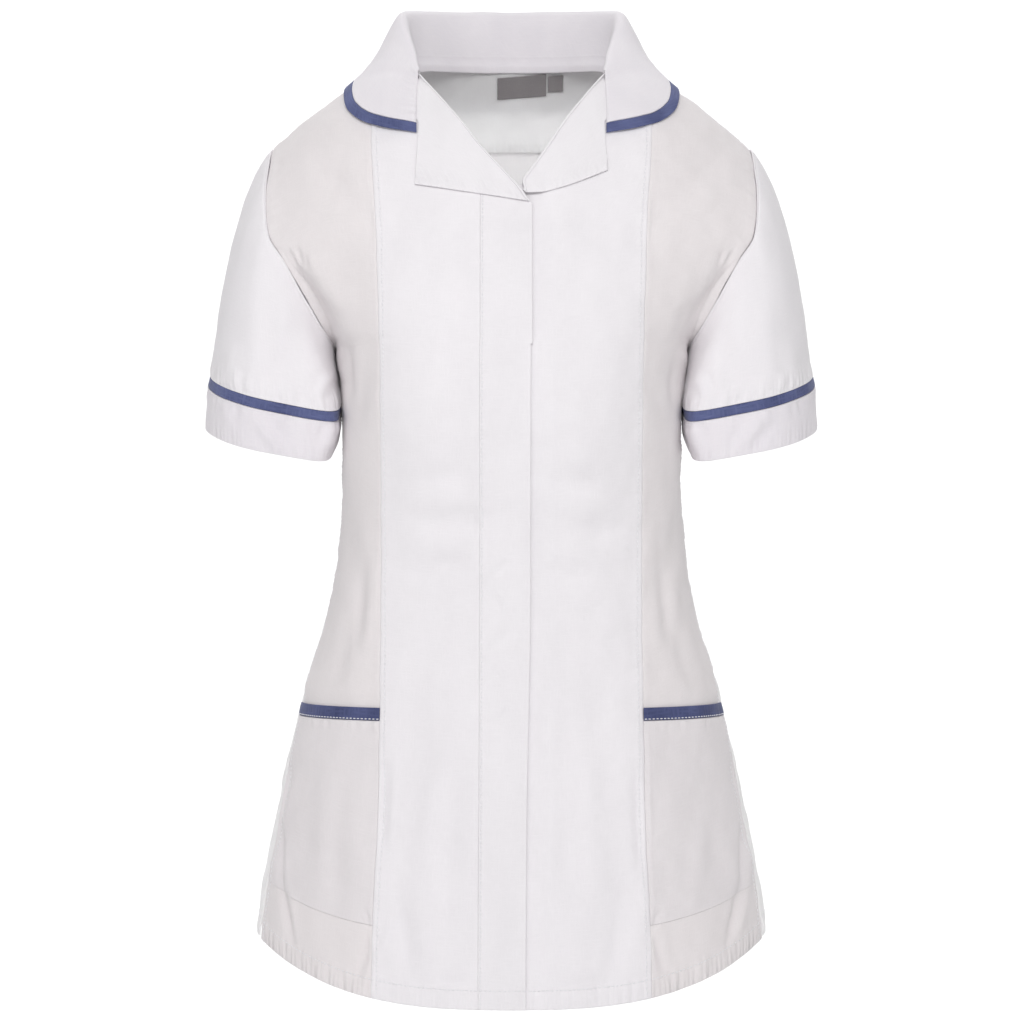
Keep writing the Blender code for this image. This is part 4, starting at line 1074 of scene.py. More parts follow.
def make_yoke(cloth):
    """The back yoke."""
    half = YOKE_TOP_X * marks_between(YOKE_TOP_X, YOKE_STEP, None)
    shares = np.concatenate([-half[::-1][:-1], half]) / YOKE_TOP_X
    lows = np.full(shares.shape, 0.5)
    for _ in range(SETTLING_ROUNDS):
        lows = yoke_seam_way(shares * read(CHEST, "armhole_x", lows))
    ways = lows + (1 - lows) * marks_between(YOKE_LONG, STEP)[:, None]
    levels = level_at(ways)
    points = form(turn_at(shares * read(CHEST, "armhole_x", ways), levels, BACK), levels, BACK)
    return cut("back_yoke_cloth", points, BACK, cloth, DOUBLE,
               {"across": SEAMED, "left": SEAMED, "up": YOKE_SEAM, "down": SEAMED}, facing=-1,
               node="back_yoke", seed=5.0)


def pleat(points):
    """Rise of the box pleat in the centre back, pressed open towards the waist."""
    out = np.abs(points[..., 0])
    fold = smooth(PLEAT_FOOT_BY, PLEAT_EDGE_FROM, out)
    return PLEAT_RISE * fold * smooth(PLEAT_FADES_TO, PLEAT_FADES_FROM, points[..., 2])


def make_back(cloth):
    """The back, with its box pleat."""
    dense = LEVELS[LEVELS <= level_at(BACK_TOP_WAY)]
    start = turn_at(PLEAT_COLUMNS[-1], dense, BACK)
    outer = lengthwise(start, back_side_edge(dense), dense, BACK, spread(BACK_COLUMNS, BACK_START))
    first = np.stack([turn_at(x, dense, BACK) for x in PLEAT_COLUMNS[:-1]], axis=1)
    half = np.concatenate([first, outer], axis=1)
    table = np.concatenate([-half[:, :0:-1], half], axis=1)
    ways = way_at(dense)
    tops = np.full(table.shape[1], BACK_SEAM_GUESS)
    for _ in range(SETTLING_ROUNDS):
        turns = np.array([np.interp(way, ways, column) for way, column in zip(tops, table.T)])
        tops = yoke_seam_way(form(turns, level_at(tops), BACK)[:, 0])
    low = LOW_LEVELS[:-1]
    fixed = low[:, None] + np.zeros(table.shape[1])
    steps = WAYS[WAYS <= BACK_SEAM_FROM]
    above = marks_between(BACK_TOP_LONG, STEP, None)[1:, None]
    free = level_at(steps[-1] + (tops - steps[-1]) * above)
    levels = np.concatenate([fixed, level_at(steps)[:, None] + np.zeros(table.shape[1]), free])
    turns = np.stack([np.interp(levels[:, i], dense, table[:, i]) for i in range(table.shape[1])], axis=1)
    points = form(turns, levels, BACK)
    made = cut("back_cloth", points, BACK, cloth, SINGLE,
               {"across": SEAMED, "left": SEAMED, "up": HEMMED, "down": SEAMED}, facing=-1,
               node="back", lift=pleat(points), seed=6.0)
    declare(made)


# Sleeves: rings of points from the armhole to the cuff
Ring = namedtuple("Ring", "outer_x outer_z inner_x inner_z half_depth")
TRIM_TOP = Ring(227.0, -239.2, 129.6, -258.8, 63.0)
TRIM_BOTTOM = Ring(228.6, -247.2, 130.4, -266.4, 62.6)
CUFF_BOTTOM = Ring(230.6, -279.0, 136.4, -296.4, 59.0)
RING_TILT = 0.195
INNER_SQUARENESS = 0.34
RING_STEPS = 3600
ARMHOLE_STEPS = 1200
ARMHOLE_CROWDING = 1.5
ARMHOLE_LOOK_BACK = 1.5
SLEEVE_COLUMNS = 168
SLEEVE_LONG = 170.0
SLEEVE_GAP = 0.05

# How hard the cloth leaves the armhole and arrives at the trim, as shares of the way between them
LEAVE_PULL = 0.80
ARRIVE_PULL = 0.95

# Heights of the tape and the cuff, with the rows near their edges
TAPE_TALL = 8.0
TAPE_STEP = 1.2
TAPE_MARKS = (0.15, 0.4, 0.9, 1.5)
CUFF_TALL = 34.0
CUFF_HEM_MARKS = (0, 0.3, 0.8, 1.5, 2.2, 2.8, 3.6, 4.8)
CUFF_SEAM_MARKS = (0.16, 0.4, 0.8, 1.5, 2.7)


def armhole(count):
    """Angles, points and outward normals of the armhole on +X: 0 under the arm, 180 on the shoulder."""
    ways = np.linspace(0, 1, ARMHOLE_STEPS + 1) ** ARMHOLE_CROWDING
    halves = []
    for side, first in ((FRONT, 0.0), (BACK, 360.0)):
        levels = level_at(ways)
        points = form(90.0, levels, side)
        before = form(90.0 - ARMHOLE_LOOK_BACK, levels, side)
        step = np.gradient(points, axis=0)
        normal = -side * np.cross(points - before, step)
        normal /= np.maximum(np.linalg.norm(normal, axis=1, keepdims=True), 1e-9)
        walked = lengths_along(points)
        halves.append((first - side * 180 * walked / walked[-1], points, normal))
    angles, points, normals = (np.concatenate([front, back[-2:0:-1]]) for front, back in zip(*halves))
    wanted = np.linspace(0, 360, count + 1)
    angles = np.append(angles, 360.0)
    points = places_at(wanted, angles, np.concatenate([points, points[:1]]))
    normals = places_at(wanted, angles, np.concatenate([normals, normals[:1]]))
    return wanted, points, normals / np.linalg.norm(normals, axis=1, keepdims=True)


def ring_points(ring, angles):
    """Points of a ring of the sleeve on +X, 0 next to the body, 180 outside, at even steps along it."""
    turn = np.radians(np.linspace(0, 360, RING_STEPS + 1))
    middle = np.array([(ring.outer_x + ring.inner_x) / 2, 0, (ring.outer_z + ring.inner_z) / 2])
    across = np.array([(ring.outer_x - ring.inner_x) / 2, 0, (ring.outer_z - ring.inner_z) / 2])
    square = np.where(np.cos(turn) > 0, INNER_SQUARENESS, 1.0)
    inward = np.sign(np.cos(turn)) * np.abs(np.cos(turn)) ** square
    y = -ring.half_depth * np.sign(np.sin(turn)) * np.abs(np.sin(turn)) ** square
    tilt = np.stack([np.zeros_like(y), y, RING_TILT * y], axis=1)
    points = middle - across * inward[:, None] + tilt
    walked = lengths_along(points)
    return places_at(angles / 360 * walked[-1], walked, points)


def sleeve_grid():
    """Points of the sleeve on +X, from its trim up to the armhole.

    The cloth leaves the armhole outwards over the shoulder and downwards under the arm, and it arrives at the
    trim almost straight down.
    """
    angles, seam, normal = armhole(SLEEVE_COLUMNS)
    high = ((1 - np.cos(np.radians(angles))) / 2)[:, None]
    behind = -np.sin(np.radians(angles))[:, None]
    leave = np.concatenate([0.57 * high + 0.05, 0.10 * behind, -1 + 0.22 * high], axis=1)
    leave /= np.linalg.norm(leave, axis=1, keepdims=True)
    off = normal * (1 - high) + leave * high
    start = seam + off / np.linalg.norm(off, axis=1, keepdims=True) * SLEEVE_GAP
    end = ring_points(TRIM_TOP, angles)
    reach = np.linalg.norm(end - start, axis=1, keepdims=True)
    arrive = np.concatenate([0.16 * high - 0.03, 0 * high, -1 + 0 * high], axis=1)
    arrive /= np.linalg.norm(arrive, axis=1, keepdims=True)
    parts = 1 - marks_between(SLEEVE_LONG, STEP)
    square = (parts ** 2)[:, None, None]
    cube = (parts ** 3)[:, None, None]
    part = parts[:, None, None]
    return (start * (2 * cube - 3 * square + 1) + end * (3 * square - 2 * cube)
            + leave * reach * LEAVE_PULL * (cube - 2 * square + part)
            + arrive * reach * ARRIVE_PULL * (cube - square))


def between_rings(low, high, rows):
    """Points on straight lines between two rings, from the lower to the upper."""
    angles = np.linspace(0, 360, SLEEVE_COLUMNS + 1)
    first, last = ring_points(low, angles), ring_points(high, angles)
    part = rows[:, None, None]
    return first * (1 - part) + last * part


def arm_side(points):
    """The side of the arm on which points of a sleeve lie."""
    return np.where(points[..., 1] < 0, ARM_FRONT, ARM_BACK)


def make_sleeve(cloth, side_cloth, navy, word, sign):
    """A short sleeve with its navy trim and its cuff."""
    grid = mirrored(sleeve_grid(), sign)
    sleeve = cut("sleeve_" + word + "_cloth", grid, arm_side(grid), side_cloth, SINGLE,
                 {"up": SLEEVE_SEAM, "down": SLEEVE_HEAD}, facing=-sign, tube=True,
                 node="sleeve_" + word, seed=7 + sign, roughness=0.5)
    rows = marks_between(TAPE_TALL, TAPE_STEP, TAPE_MARKS, TAPE_MARKS)
    grid = mirrored(between_rings(TRIM_BOTTOM, TRIM_TOP, rows), sign)
    trim = cut("sleeve_trim_" + word + "_tape", grid, arm_side(grid), navy, TRIM, {"up": TRIM_STITCH},
               facing=-sign, tube=True, lift=0.5, node="sleeve_trim_" + word, seed=9 + sign)
    rows = marks_between(CUFF_TALL, STEP, CUFF_HEM_MARKS, CUFF_SEAM_MARKS)
    grid = mirrored(between_rings(CUFF_BOTTOM, TRIM_BOTTOM, rows), sign)
    cuff = cut("cuff_" + word + "_cloth", grid, arm_side(grid), cloth, DOUBLE,
               {"up": CUFF_HEM, "down": SLEEVE_SEAM}, facing=-sign, tube=True, lift=0.2,
               node="cuff_" + word, seed=11 + sign, roughness=0.5)
    declare(sleeve)
    declare(cuff)


# Collar: seam, fold and leaf edge from the centre back to the gorge
Collar = namedtuple("Collar", "station seam_x seam_way fold_x fold_y fold_z edge_x edge_y edge_z")
COLLAR = [
    Collar(0.00, 0.0, 1.0, 0.0, 80.0, 48.0, 0.0, 98.0, -24.0),
    Collar(0.18, 28.0, 1.0, 31.0, 76.0, 47.6, 42.0, 94.0, -24.0),
    Collar(0.34, 50.0, 1.0, 60.0, 63.0, 46.0, 80.0, 77.0, -23.0),
    Collar(0.48, 65.0, 1.0, 78.5, 44.0, 43.6, 103.0, 51.0, -21.0),
    Collar(0.58, 72.0, 1.0, 83.6, 26.0, 39.4, 114.5, 27.0, -19.0),
    Collar(0.68, 72.9, 0.95, 81.6, 8.0, 26.0, 120.5, 4.0, -19.0),
    Collar(0.76, 72.6, 0.90, 77.5, -7.0, 12.0, 123.5, -15.0, -28.0),
    Collar(0.84, 71.2, 0.83, 73.2, -23.0, -2.0, 120.0, -37.0, -46.0),
    Collar(0.90, 70.5, 0.80, 71.5, -31.0, -8.5, 111.5, -51.0, -55.0),
    Collar(0.95, 70.0, 0.785, 70.3, -36.0, -12.0, 92.0, -63.0, -61.5),
    Collar(1.00, 69.9, 0.769, 69.9, -39.0, -13.5, 69.9, -74.0, -64.0),
]
COLLAR_THICK = 1.8
COLLAR_TRIM_WIDTH = 8.6
LEAF_CLEAR = 2.3
STAND_POINTS = 24
LEAF_POINTS = 44
LIES_FROM = 9
COLLAR_LINES = 91
COLLAR_SEAM_GAP = 0.45
FOLD_SOFT = 5.0
FOLD_SOFT_SHARE = 0.45
LEAF_LEAN = 2.5
LEAF_LEAN_BACK = 3.5
LEAF_HANG = 0.42

# The stand's inner turning: how far it reaches down inside the neck, and how far it stands off there
TAIL = 4.6
TAIL_OFF = 0.7
TAIL_FADES_OVER = 5.0

# Places across the collar, from its seam: down the turning, up the stand, and before the leaf's tape
TAIL_MARKS = (-TAIL, 0.3 - TAIL, 0.9 - TAIL, 1.7 - TAIL, -1.3)
STAND_MARKS = (0, 0.8, 1.8, 3.0, 4.6, 6.2, 7.2, 7.8, 8.3, 8.8, 9.4, 10.4)
STAND_SHARE = 0.55
LEAF_END_MARKS = (0.6, 0.2, 0.0)
LEAF_LAST_MARK = 1.2
TAPE_SHARES = (0.99, 0.95, 0.88, 0.7, 0.5, 0.3, 0.12, 0.05, 0.01)

# The surface that the collar lies on: from which way up, and how finely it is cut
REST_FROM = 0.3
REST_ROWS = 44
REST_COLUMNS = 60


def rest_surface():
    """The upper body as one surface, for the collar to lie on."""
    places = []
    faces = []
    turns = np.linspace(-90, 90, REST_COLUMNS + 1)
    ways = np.linspace(REST_FROM, 1, REST_ROWS + 1)
    for side in (FRONT, BACK):
        first = len(places)
        grid = form(turns[None, :], level_at(ways)[:, None], side)
        places += [Vector(point) for point in grid.reshape(-1, 3)]
        for row in range(REST_ROWS):
            for column in range(REST_COLUMNS):
                corner = first + row * len(turns) + column
                above = corner + len(turns)
                ring = (corner, corner + 1, above + 1, above)
                faces.append(ring if side == FRONT else ring[::-1])
    return BVHTree.FromPolygons(places, faces)


def clear_of_body(surface, point, clearance):
    """Push a point of the leaf out until it clears the body."""
    near, normal, _, _ = surface.find_nearest(point)
    return point + normal * max(clearance - (point - near).dot(normal), 0.0)


def bezier(first, second, third, fourth, part):
    """A point of a curve with two handles."""
    rest = 1 - part
    return (first * rest ** 3 + second * 3 * rest * rest * part + third * 3 * rest * part * part
            + fourth * part ** 3)


def collar_section(surface, station):
    """The collar's section at a station on +X, from its seam over the fold to the leaf's edge."""
    row = {name: float(read(COLLAR, name, station)) for name in Collar._fields[1:]}
    side = BACK if row["seam_way"] > 0.9995 else FRONT
    level = level_at(row["seam_way"])
    seam = Vector(form(turn_at(row["seam_x"], level, side), level, side))
    fold = Vector((row["fold_x"], row["fold_y"], row["fold_z"]))
    edge = clear_of_body(surface, Vector((row["edge_x"], row["edge_y"], row["edge_z"])), LEAF_CLEAR)
    seam = seam + (fold - seam).normalized() * COLLAR_SEAM_GAP
    out = edge - fold
    out.z = 0
    out = out.normalized() if out.length > 1 else Vector((0, -1, 0))
    soft = min(FOLD_SOFT, FOLD_SOFT_SHARE * (fold - seam).length)
    lean = LEAF_LEAN_BACK * float(smooth(1.0, 0.7, station)) + LEAF_LEAN
    hang = (edge - fold) * LEAF_HANG
    line = [bezier(seam, seam + (fold - seam) * 0.5, fold - out * soft, fold, i / STAND_POINTS)
            for i in range(STAND_POINTS)]
    leaf = [bezier(fold, fold + out * lean, edge - hang, edge, i / LEAF_POINTS)
            for i in range(LEAF_POINTS + 1)]
    settled = [clear_of_body(surface, point, LEAF_CLEAR) if i > LIES_FROM else point
               for i, point in enumerate(leaf)]
    return line + settled


def collar_grid():
    """The collar's sections all round, at stations that lie closer together towards its ends."""
    surface = rest_surface()
    share = np.linspace(0, 1, COLLAR_LINES)
    stations = share * (1.35 - 0.35 * share)
    half = np.array([[tuple(point) for point in collar_section(surface, station)] for station in stations])
    other = mirrored(half[:0:-1], -1)
    return np.concatenate([other, half])


def collar_points(lines, places):
    """Points of the collar's lines, at places worked out from a line's lengths to its fold and its end."""
    rows = []
    for line in lines:
        lengths = lengths_along(line)
        wanted = places(lengths[STAND_POINTS], lengths[-1])
        start = line[0] - np.array([0.0, 0.0, TAIL])
        rows.append(places_at(wanted, np.append(-TAIL, lengths), np.concatenate([[start], line])))
    return np.array(rows)


def make_collar(cloth, navy):
    """The collar, stand and leaf in one, with the navy tape that binds its leaf."""
    lines = collar_grid()

    def cloth_places(fold, total):
        last = total - COLLAR_TRIM_WIDTH - SEAM
        stand = np.array(STAND_MARKS) * min(1.0, fold * STAND_SHARE / STAND_MARKS[-1])
        to_fold = np.linspace(stand[-1], fold, 9)[1:]
        to_tape = np.linspace(fold, last - LEAF_LAST_MARK, 26)[1:]
        return np.concatenate([TAIL_MARKS, stand, to_fold, to_tape, last - np.array(LEAF_END_MARKS)])

    def tape_places(fold, total):
        return total - COLLAR_TRIM_WIDTH * np.array(TAPE_SHARES)

    points = collar_points(lines, cloth_places)
    stand_off = -TAIL_OFF * smooth(TAIL + TAIL_FADES_OVER, TAIL, Lay(points).across)
    collar = cut("collar_cloth", points, 0, cloth, COLLAR_THICK, {"across": COLLAR_SEAM},
                 lift=COLLAR_THICK / 2 + stand_off, node="collar", seed=13.0, roughness=0.4)
    tape = cut("collar_trim_tape", collar_points(lines, tape_places), 0, navy, TRIM,
               {"across": TRIM_STITCH}, lift=COLLAR_THICK / 2 + 0.35, node="collar_trim",
               seed=14.0, roughness=0.4)
    declare(collar)


# Revers: the fronts turned back from the roll line, beside the collar's ends. Their lower edges run through
# these places
REVERS_TOP_Z = -17.5
REVERS_OUTER_X = 68.8
Lower = namedtuple("Lower", "x z")
RIGHT_LOWER = [
    Lower(-70.5, -103.8),
    Lower(-31.7, -110.0),
    Lower(13.6, -117.2),
]
LEFT_LOWER = [
    Lower(8.0, -108.0),
    Lower(10.5, -110.6),
    Lower(19.0, -110.4),
    Lower(37.3, -106.3),
    Lower(70.6, -93.2),
]

# The fold on the roll line: its radius and where it ends, and how far round it the cloth goes in degrees
WRAP = 1.8
WRAP_AT = 2.4
WRAP_BEND = 88
WRAP_COLUMNS = 12
AFTER_WRAP = (0.15, 0.5, 1.0)
AFTER_WRAP_BY = 8.0
REVERS_LONG = 88.0
REVERS_STEP = 2.0
REVERS_FREE_STEP = 0.028
REVERS_FREE_MARKS = (0.0, 0.004, 0.012, 0.022, 0.04, 0.055, 0.065, 0.08)

# Where the revers is tucked under the collar's end: how far out it goes, how far it sinks, and over which
# heights and distances from its edge
TUCK = 5.0
TUCK_FROM = (-56, -50)
TUCK_ENDS_BEFORE = 14
SINK = 0.55
SINK_FROM = (-62, -54)
SINK_WITHIN = (13, 6)
REVERS_WIDENS_AT = -62
REVERS_CLEAR = 0.6


def front_place(x, z):
    """Point of the front at an x and a height."""
    level = level_at(way_of(x, z))
    return form(turn_at(x, level), level, FRONT)


def make_revers(cloth, word, lower, column, sign):
    """A revers, folded over on its roll line."""
    up = marks_between(REVERS_LONG, REVERS_STEP)[:, None]
    outer, inner = (lower[0], lower[-1]) if sign < 0 else (lower[-1], lower[0])
    outer_z = outer.z + (REVERS_TOP_Z - outer.z) * up
    widened = (abs(outer.x) - REVERS_OUTER_X) * smooth(REVERS_WIDENS_AT, outer.z, outer_z)
    short_of_top = smooth(REVERS_TOP_Z, REVERS_TOP_Z - TUCK_ENDS_BEFORE, outer_z)
    tuck = TUCK * smooth(*TUCK_FROM, outer_z) * short_of_top
    outer_x = sign * (REVERS_OUTER_X + widened + tuck)
    roll_z = inner.z + (REVERS_TOP_Z - inner.z) * up
    off_line = inner.x - float(read(ROLL, column, inner.z))
    roll = read(ROLL, column, roll_z) + off_line * smooth(0.1, 0.0, up)
    width = np.abs(roll - outer_x)
    bend = np.radians(np.linspace(-WRAP_BEND, WRAP_BEND, WRAP_COLUMNS))
    wrapped = np.broadcast_to(WRAP_AT - WRAP * np.cos(bend), (len(up), WRAP_COLUMNS))
    narrow = np.minimum(width * 0.3, AFTER_WRAP_BY)
    after = WRAP_AT + (narrow - WRAP_AT) * np.array(AFTER_WRAP) * (narrow > WRAP_AT)
    free = marks_between(1.0, REVERS_FREE_STEP, None, REVERS_FREE_MARKS)[1:]
    across = np.concatenate([wrapped, after, narrow + (width - narrow) * free[None, :]], axis=1)
    share = across / width
    x = roll + (outer_x - roll) * share
    z = roll_z + (outer_z - roll_z) * share
    edge = read(lower, "z", x[:1]) - (inner.z + (outer.z - inner.z) * share[:1])
    points = front_place(x, z + edge * (1 - up) ** 3)
    lay = Lay(points, sign)
    tucked = smooth(*SINK_FROM, outer_z) * smooth(*SINK_WITHIN, width - across)
    height = np.full(across.shape, WRAP - REVERS_CLEAR) - SINK * tucked
    height[:, :WRAP_COLUMNS] = -REVERS_CLEAR + WRAP * np.sin(bend)
    made = cut("revers_" + word + "_cloth", points + lay.normal * height[..., None], 0, cloth, APPLIED,
               {"left": REVERS_EDGE, "up": REVERS_EDGE}, facing=sign, lift=APPLIED / 2,
               node="revers_" + word, seed=15.0 + sign, roughness=0.4)
    declare(made)


# Pockets: how they lie in their room, and the rows and columns near their edges
POCKET_LIFT = 0.3 - POCKET_ROOM
POCKET_THICK = 1.0
POCKET_GAP = 0.1
POCKET_SIDE_GAP = 0.5
POCKET_LONG = 153.0
POCKET_MOUTH_MARKS = (0.16, 0.5, 1.1, 2.0, 3.4)
POCKET_TRIM_TALL = 9.5
POCKET_TRIM_MARKS = ((0.15, 0.5, 1.0, 1.8), (0.1, 0.4, 0.9, 1.6))
POCKET_TRIM_LIFT = POCKET_LIFT + POCKET_THICK + 0.6


def pocket_grid(low, high, rows_at):
    """Points of the side front on +X from its princess seam to its side seam, between two heights."""
    levels = low + (high - low) * rows_at
    first = inset(princess(levels), levels, FRONT, SEAM + POCKET_GAP)
    last = inset(front_side_edge(levels), levels, FRONT, -POCKET_SIDE_GAP)
    return panel(first, last, levels, FRONT, SIDE_FRONT_COLUMNS)


def make_pocket(cloth, navy, word, sign):
    """A hip pocket with its navy trim."""
    rows = marks_between(POCKET_LONG, STEP, high=POCKET_MOUTH_MARKS)
    grid = mirrored(pocket_grid(POCKET_BOTTOM, POCKET_TOP, rows), sign)
    edges = {"across": SEAMED, "left": SIDE_SEAM, "up": POCKET_HEM, "down": POCKET_MOUTH}
    pocket = cut("pocket_" + word + "_cloth", grid, FRONT, cloth, POCKET_THICK, edges, facing=sign,
                 lift=POCKET_LIFT + POCKET_THICK, node="pocket_" + word, seed=17.0 + sign)
    rows = marks_between(POCKET_TRIM_TALL, TAPE_STEP, *POCKET_TRIM_MARKS)
    grid = mirrored(pocket_grid(POCKET_TOP, POCKET_TRIM_TOP, rows), sign)
    tape = cut("pocket_trim_" + word + "_tape", grid, FRONT, navy, POCKET_THICK + 0.3,
               {"up": TRIM_STITCH}, facing=sign, lift=POCKET_TRIM_LIFT,
               node="pocket_trim_" + word, seed=19.0 + sign)
    declare(pocket)


# Labels inside the back of the neck: edges by x and height, and lean as a slope
Label = namedtuple("Label", "name node left right top bottom lean")
LABELS = [
    Label("neck_label_woven", "neck_label", -11.3, 27.6, -0.8, -17.0, 0.07),
    Label("size_label_woven", "size_label", 29.0, 41.0, -1.0, -12.8, 0.03),
]
LABEL_LIFT = -DOUBLE - 0.3
LABEL_THICK = 0.6
LABEL_STEP = 1.0
LABEL_MARKS = (0, 0.2, 0.5, 1.0)


def make_label(label, cloth):
    """A woven label inside the back of the neck."""
    wide, tall = label.right - label.left, label.top - label.bottom
    x = label.left + wide * marks_between(wide, LABEL_STEP, LABEL_MARKS, LABEL_MARKS)[None, :]
    z = label.bottom + tall * marks_between(tall, LABEL_STEP, LABEL_MARKS, LABEL_MARKS)[:, None]
    z = z + label.lean * (x - (label.left + label.right) / 2)
    level = level_at(way_of(x, z))
    points = form(turn_at(x, level, BACK), level, BACK)
    return cut(label.name, points, 0, cloth, LABEL_THICK, {}, facing=-1, lift=LABEL_LIFT,
               node=label.node, roughness=0.3)


STITCH_THICK = 0.42
STITCH_LEAN_OVER = 0.4


def straight(path, pitch):
    """Places and directions of the stitches along a row of points."""
    walked = lengths_along(path)
    count = int(walked[-1] / pitch)
    middles = (np.arange(count) + 0.5) * walked[-1] / max(count, 1)
    heads = places_at(middles - STITCH_LEAN_OVER, walked, path)
    tails = places_at(middles + STITCH_LEAN_OVER, walked, path)
    return (heads + tails) / 2, tails - heads


def make_sewing(thread):
    """Every row of stitches, as short lengths of thread."""
    settings = bpy.context.scene.tunic
    pitch = round(settings.stitch_pitch / MM, 3)
    length = round(settings.stitch_length / MM, 3)
    size = Matrix.Diagonal((STITCH_THICK, STITCH_THICK, length / 2, 1.0)) * MM
    size[3][3] = 1.0
    for name, paths in sewn_rows.items():
        mesh = bmesh.new()
        for path in paths:
            for place, way in zip(*straight(path, pitch)):
                turned = Vector(way).to_track_quat("Z", "Y").to_matrix().to_4x4()
                spot = Matrix.Translation(Vector(place) * MM) @ turned @ size
                bmesh.ops.create_uvsphere(mesh, u_segments=5, v_segments=4, radius=1.0, matrix=spot)
        for face in mesh.faces:
            face.smooth = True
        made = finished("sewing_" + name.replace("_cloth", "").replace("_tape", ""), mesh, thread)


def hex_colour(text):
    """Linear colour of an sRGB hex value."""
    parts = [int(text[i:i + 2], 16) / 255 for i in (0, 2, 4)]
    return tuple(p / 12.92 if p <= 0.04045 else ((p + 0.055) / 1.055) ** 2.4 for p in parts) + (1.0,)


def add(tree, kind, settings=(), links=()):
    """Add a node with its settings, constant inputs and links. Links are (input, node, output)."""
    node = tree.nodes.new(kind)
    for name, value in dict(settings).items():
        if name in node.inputs:
            node.inputs[name].default_value = value
        else:
            setattr(node, name, value)
    for name, source, output in links:
        tree.links.new(source.outputs[output], node.inputs[name])
    return node


# How the threads of a cloth are drawn: a thread's run against its thickness, and the bump of the weave
THREAD_RUN = 0.12
WEAVE_BUMP = 0.0004

# Slow clouds of light and shade that worn cloth has, 25 mm wide and 90 mm long, as a share of the tone
CLOUD_SCALE = (40.0, 40.0, 11.0)
CLOUD_FROM = 0.35
CLOUD_TO = 0.65
CLOUD_TONE = 0.22

# Gathers above a hem, in metres: where they start to fade and where they end, the width and height of one,
# and the bump
GATHER_FADES = 0.004
GATHER_ENDS = 0.017
GATHER_WIDE = 0.0034
GATHER_TALL = 0.03
GATHER_BUMP = 0.002

# A cloth through which light scatters further than this, in metres, is as good as translucent
SEE_THROUGH = 0.003
SCATTER_THIN = 1.0
SCATTER_THICK = 0.3
CLOTH_SPECULAR = 0.25

# Each cloth by its finish: the user's tint that it takes, sRGB colour of the threads and of the shade
# between them, roughness, sheen, thread size in metres, strength of the weave's relief, depth in metres that
# light scatters to, and strength of the gathers above its hem. The real threads are about 0.35 mm apart in
# the poly-cotton and 0.5 mm in the twill. They are drawn 1.1 and 1.6 mm wide, so that they show.
Cloth = namedtuple("Cloth", "tint colour shade roughness sheen thread relief depth gathers")
CLOTHS = {
    # Matt plain weave with a faint grain and a soft, slightly lilac white
    "white poly-cotton": Cloth("white", "EEEBEE", "E8E5E8", 0.8, 0.1, 0.0011, 0.16, 0.0015, 0.5),
    # The same cloth where light comes through it from behind, so it looks brighter and flatter
    "white poly-cotton, yoke": Cloth("white", "F9F7F8", "F5F3F4", 0.8, 0.1, 0.0011, 0.16, 0.004, 0.5),
    # One layer, a little greyer because more light goes through it
    "white poly-cotton, single": Cloth("white", "E9E4E5", "E2DDDE", 0.8, 0.1, 0.0011, 0.16, 0.0015, 1.0),
    # One layer with nothing behind it, painted lighter than the cloth so that it glows softly: painted light
    # for the light that comes through it from behind
    "white poly-cotton, back": Cloth("white", "F2F0F1", "ECEAEB", 0.8, 0.1, 0.0011, 0.16, 0.0035, 1.0),
    # Two layers, a little denser and cooler
    "white poly-cotton, double": Cloth("white", "EAE6EA", "E3DFE4", 0.8, 0.1, 0.0011, 0.16, 0.0015, 0.5),
    # As the single layer, with no gathers because it has no hem
    "white poly-cotton, pocket": Cloth("white", "E9E4E6", "E2DDDF", 0.8, 0.1, 0.0011, 0.16, 0.0015, 0.0),
    # Close matt twill whose darker gaps make a visible grain in a greyed navy
    "navy twill tape": Cloth("navy", "656D98", "414870", 0.7, 0.1, 0.0016, 0.5, 0.0001, 0.0),
    # The same tape where it faces the light less, a shade deeper
    "navy twill tape, pocket": Cloth("navy", "565D87", "363D63", 0.7, 0.1, 0.0016, 0.5, 0.0001, 0.0),
    # Smooth fine weave of a mid grey, with no sheen
    "grey woven label": Cloth("label", "9A9697", "8B8789", 0.6, 0.0, 0.0006, 0.2, 0.0001, 0.0),
    # Spun thread, as white as the cloth and a little smoother
    "white polyester thread": Cloth("white", "EFEEF1", "E8E7EB", 0.6, 0.1, 0.0006, 0.1, 0.0001, 0.0),
}


def tinted(text, tint):
    """A hex colour in linear light, tinted as the user's settings say."""
    chosen = getattr(bpy.context.scene.tunic, tint + "_tint")
    return tuple(part * share for part, share in zip(hex_colour(text), (*chosen, 1.0)))


